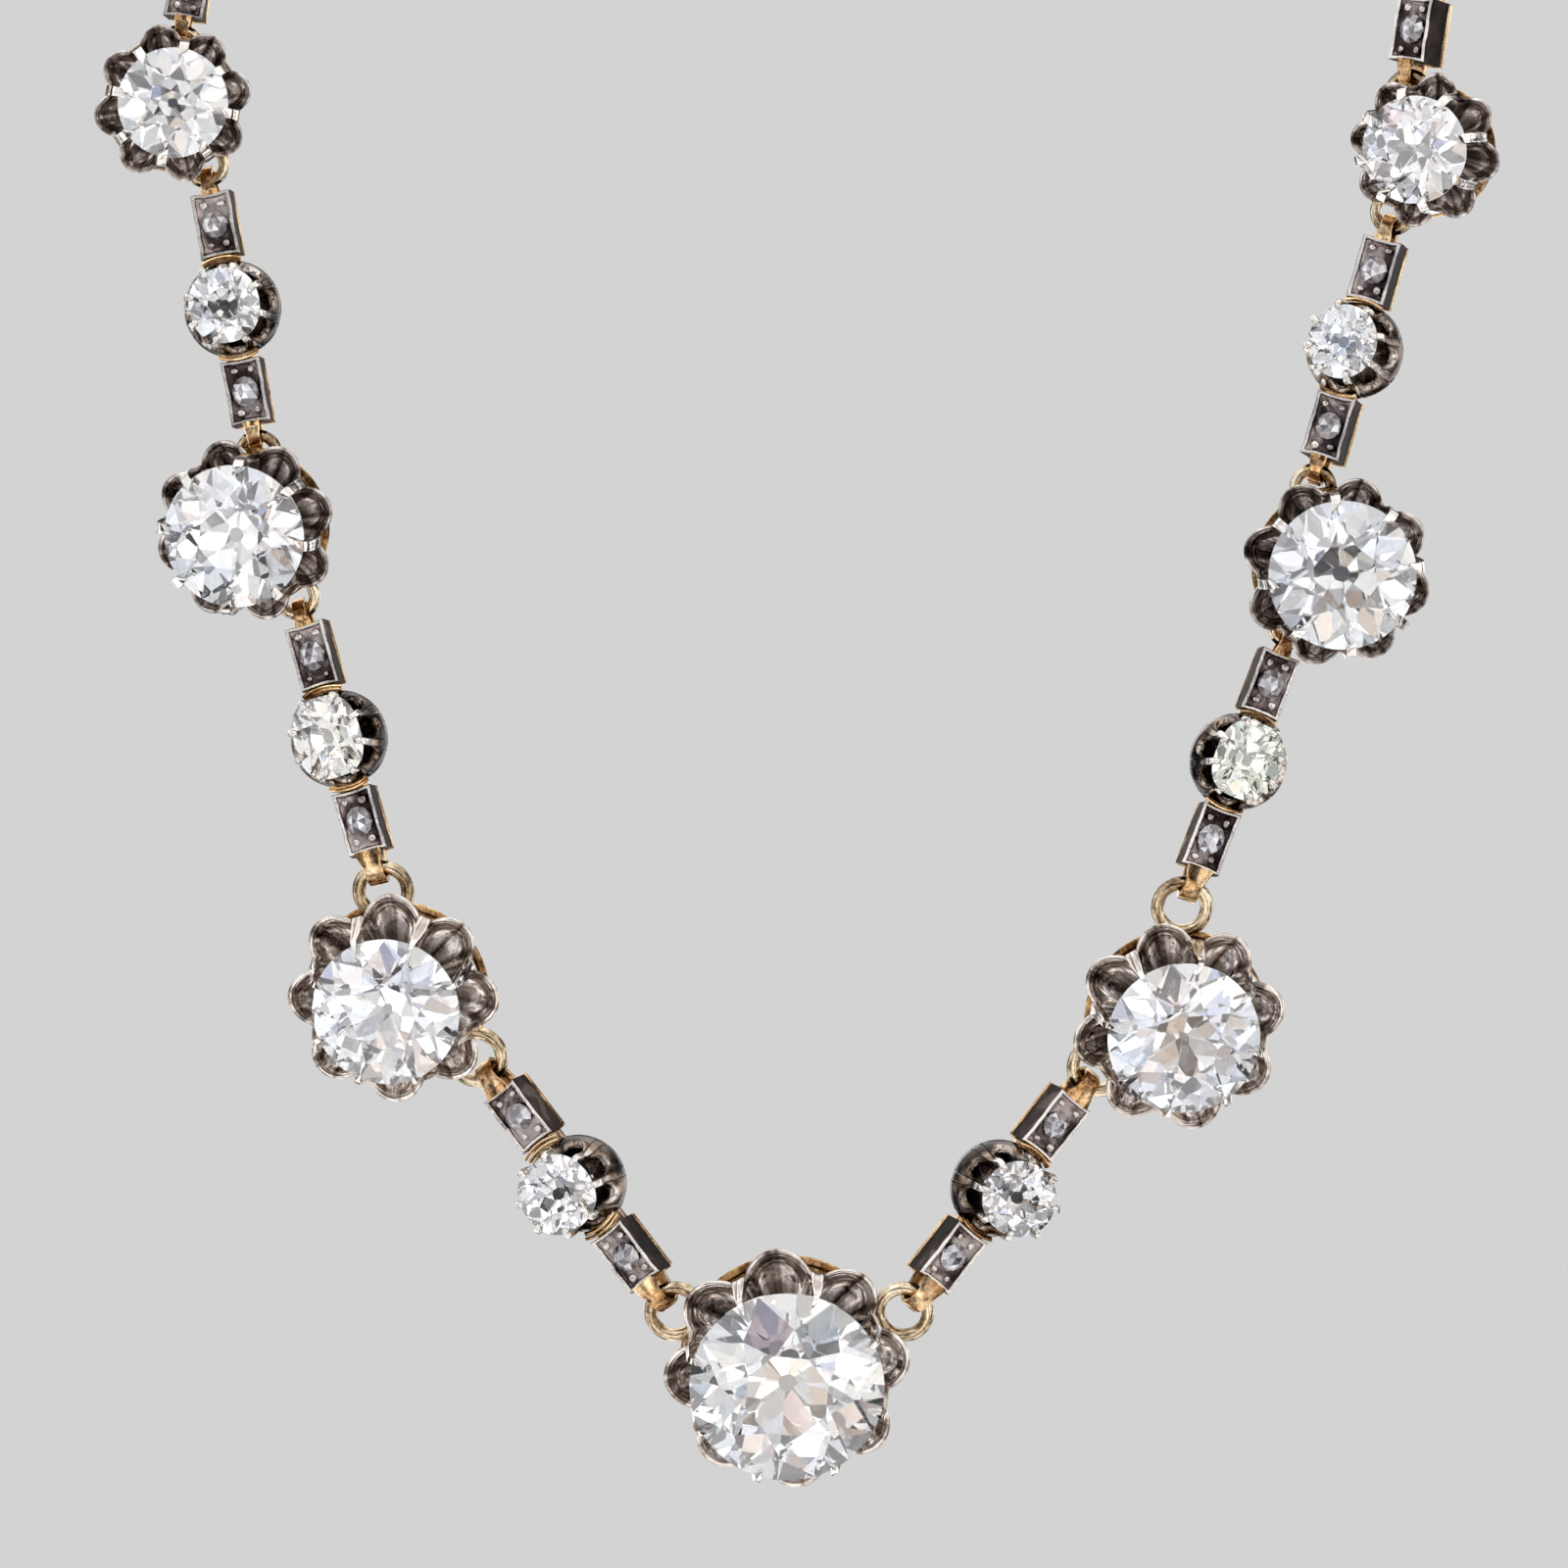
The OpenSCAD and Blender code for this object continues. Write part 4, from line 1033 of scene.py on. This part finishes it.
def makeFloor():
    mesh = bpy.data.meshes.new("floor")
    z, r = cadBox[0].z - studio["floorDrop"], studio["floorHalf"]
    mesh.from_pydata([(-r, -r, z), (r, -r, z), (r, r, z), (-r, r, z)], [], [(0, 1, 2, 3)])
    made = added("floor", mesh)
    finish, tree, main, where = shaderKit("paleFloor")
    main.inputs["Roughness"].default_value = 0.7
    main.inputs["Base Color"].default_value = (*studio["floorTone"], 1)
    # glints of stones and metal look through it into the room
    way = tree.nodes.new("ShaderNodeLightPath").outputs
    both = tree.nodes.new("ShaderNodeMixShader")
    tree.links.new(sums(tree, "MAXIMUM", way["Is Glossy Ray"], way["Is Transmission Ray"]), both.inputs[0])
    tree.links.new(main.outputs[0], both.inputs[1])
    tree.links.new(tree.nodes.new("ShaderNodeBsdfTransparent").outputs[0], both.inputs[2])
    tree.links.new(both.outputs[0], tree.nodes["Material Output"].inputs[0])
    mesh.materials.append(finish)


def makeWorld():
    # a soft pale room: bright overhead and at the sides, darker straight ahead of the stones
    world = bpy.data.worlds.new("studio")
    bpy.context.scene.world = world
    world.use_nodes = True
    tree = world.node_tree
    tree.nodes.clear()
    out = tree.nodes.new("ShaderNodeOutputWorld")
    glow = tree.nodes.new("ShaderNodeBackground")
    where = tree.nodes.new("ShaderNodeTexCoord").outputs["Generated"]
    room = tree.nodes.new("ShaderNodeTexNoise")
    room.inputs["Scale"].default_value = 2.7
    room.inputs["Detail"].default_value = 1.0
    room.inputs["Distortion"].default_value = 0.6
    tree.links.new(where, room.inputs["Vector"])
    colour = rampOf(tree, room.outputs["Fac"], roomStops, roomTones)
    for way, low, high, tint in boards:
        dot = tree.nodes.new("ShaderNodeVectorMath")
        dot.operation = "DOT_PRODUCT"
        tree.links.new(where, dot.inputs[0])
        dot.inputs[1].default_value = Vector(way).normalized()
        share = ranged(tree, dot.outputs["Value"], low, high, 0.0, 1.0)
        colour = blended(tree, share, colour, tint)
    eye = tree.nodes.new("ShaderNodeLightPath").outputs["Is Camera Ray"]
    tree.links.new(blended(tree, eye, colour, studio["skyTone"]), glow.inputs["Color"])
    glow.inputs["Strength"].default_value = studio["sky"]
    tree.links.new(glow.outputs[0], out.inputs[0])


def softLight(name, at, size, power, colour):
    lamp = bpy.data.lights.new(name, "AREA")
    lamp.shape, lamp.size, lamp.energy, lamp.color = "DISK", size, power, colour
    made = added(name, lamp)
    target = Vector(studio["aim"]) * mm
    made.location = target + Vector(at)
    made.rotation_mode = "QUATERNION"
    made.rotation_quaternion = (target - made.location).to_track_quat("-Z", "Y")
    made.visible_camera = False


makeFloor()
makeWorld()
softLight("keyLight", (-0.45, -0.7, 0.8), 0.5, 0.8, (1, 0.98, 0.96))
softLight("fillLight", (0.7, -0.6, 0.3), 0.4, 0.3, (0.95, 0.97, 1))
softLight("lowBoard", (-0.1, -0.55, -0.26), 0.45, 0.3, (1, 1, 1))

lens = bpy.data.cameras.new("camera")
lens.sensor_width = studio["sensor"]
lens.lens = studio["sensor"] * studio["distance"] / (studio["frameWidth"] * mm)
lens.clip_start, lens.clip_end = studio["clip"]
camera = added("camera", lens)
camera.location = Vector(studio["aim"]) * mm - Vector((0, studio["distance"], 0))
camera.rotation_euler = (radians(90), 0, 0)
bpy.context.scene.camera = camera

cycles = bpy.context.scene.cycles
cycles.max_bounces, cycles.transmission_bounces = 16, 14
cycles.glossy_bounces, cycles.transparent_max_bounces = 6, 8
cycles.caustics_reflective = cycles.caustics_refractive = True
bpy.context.scene.view_settings.view_transform = "Standard"
print("studio ready")
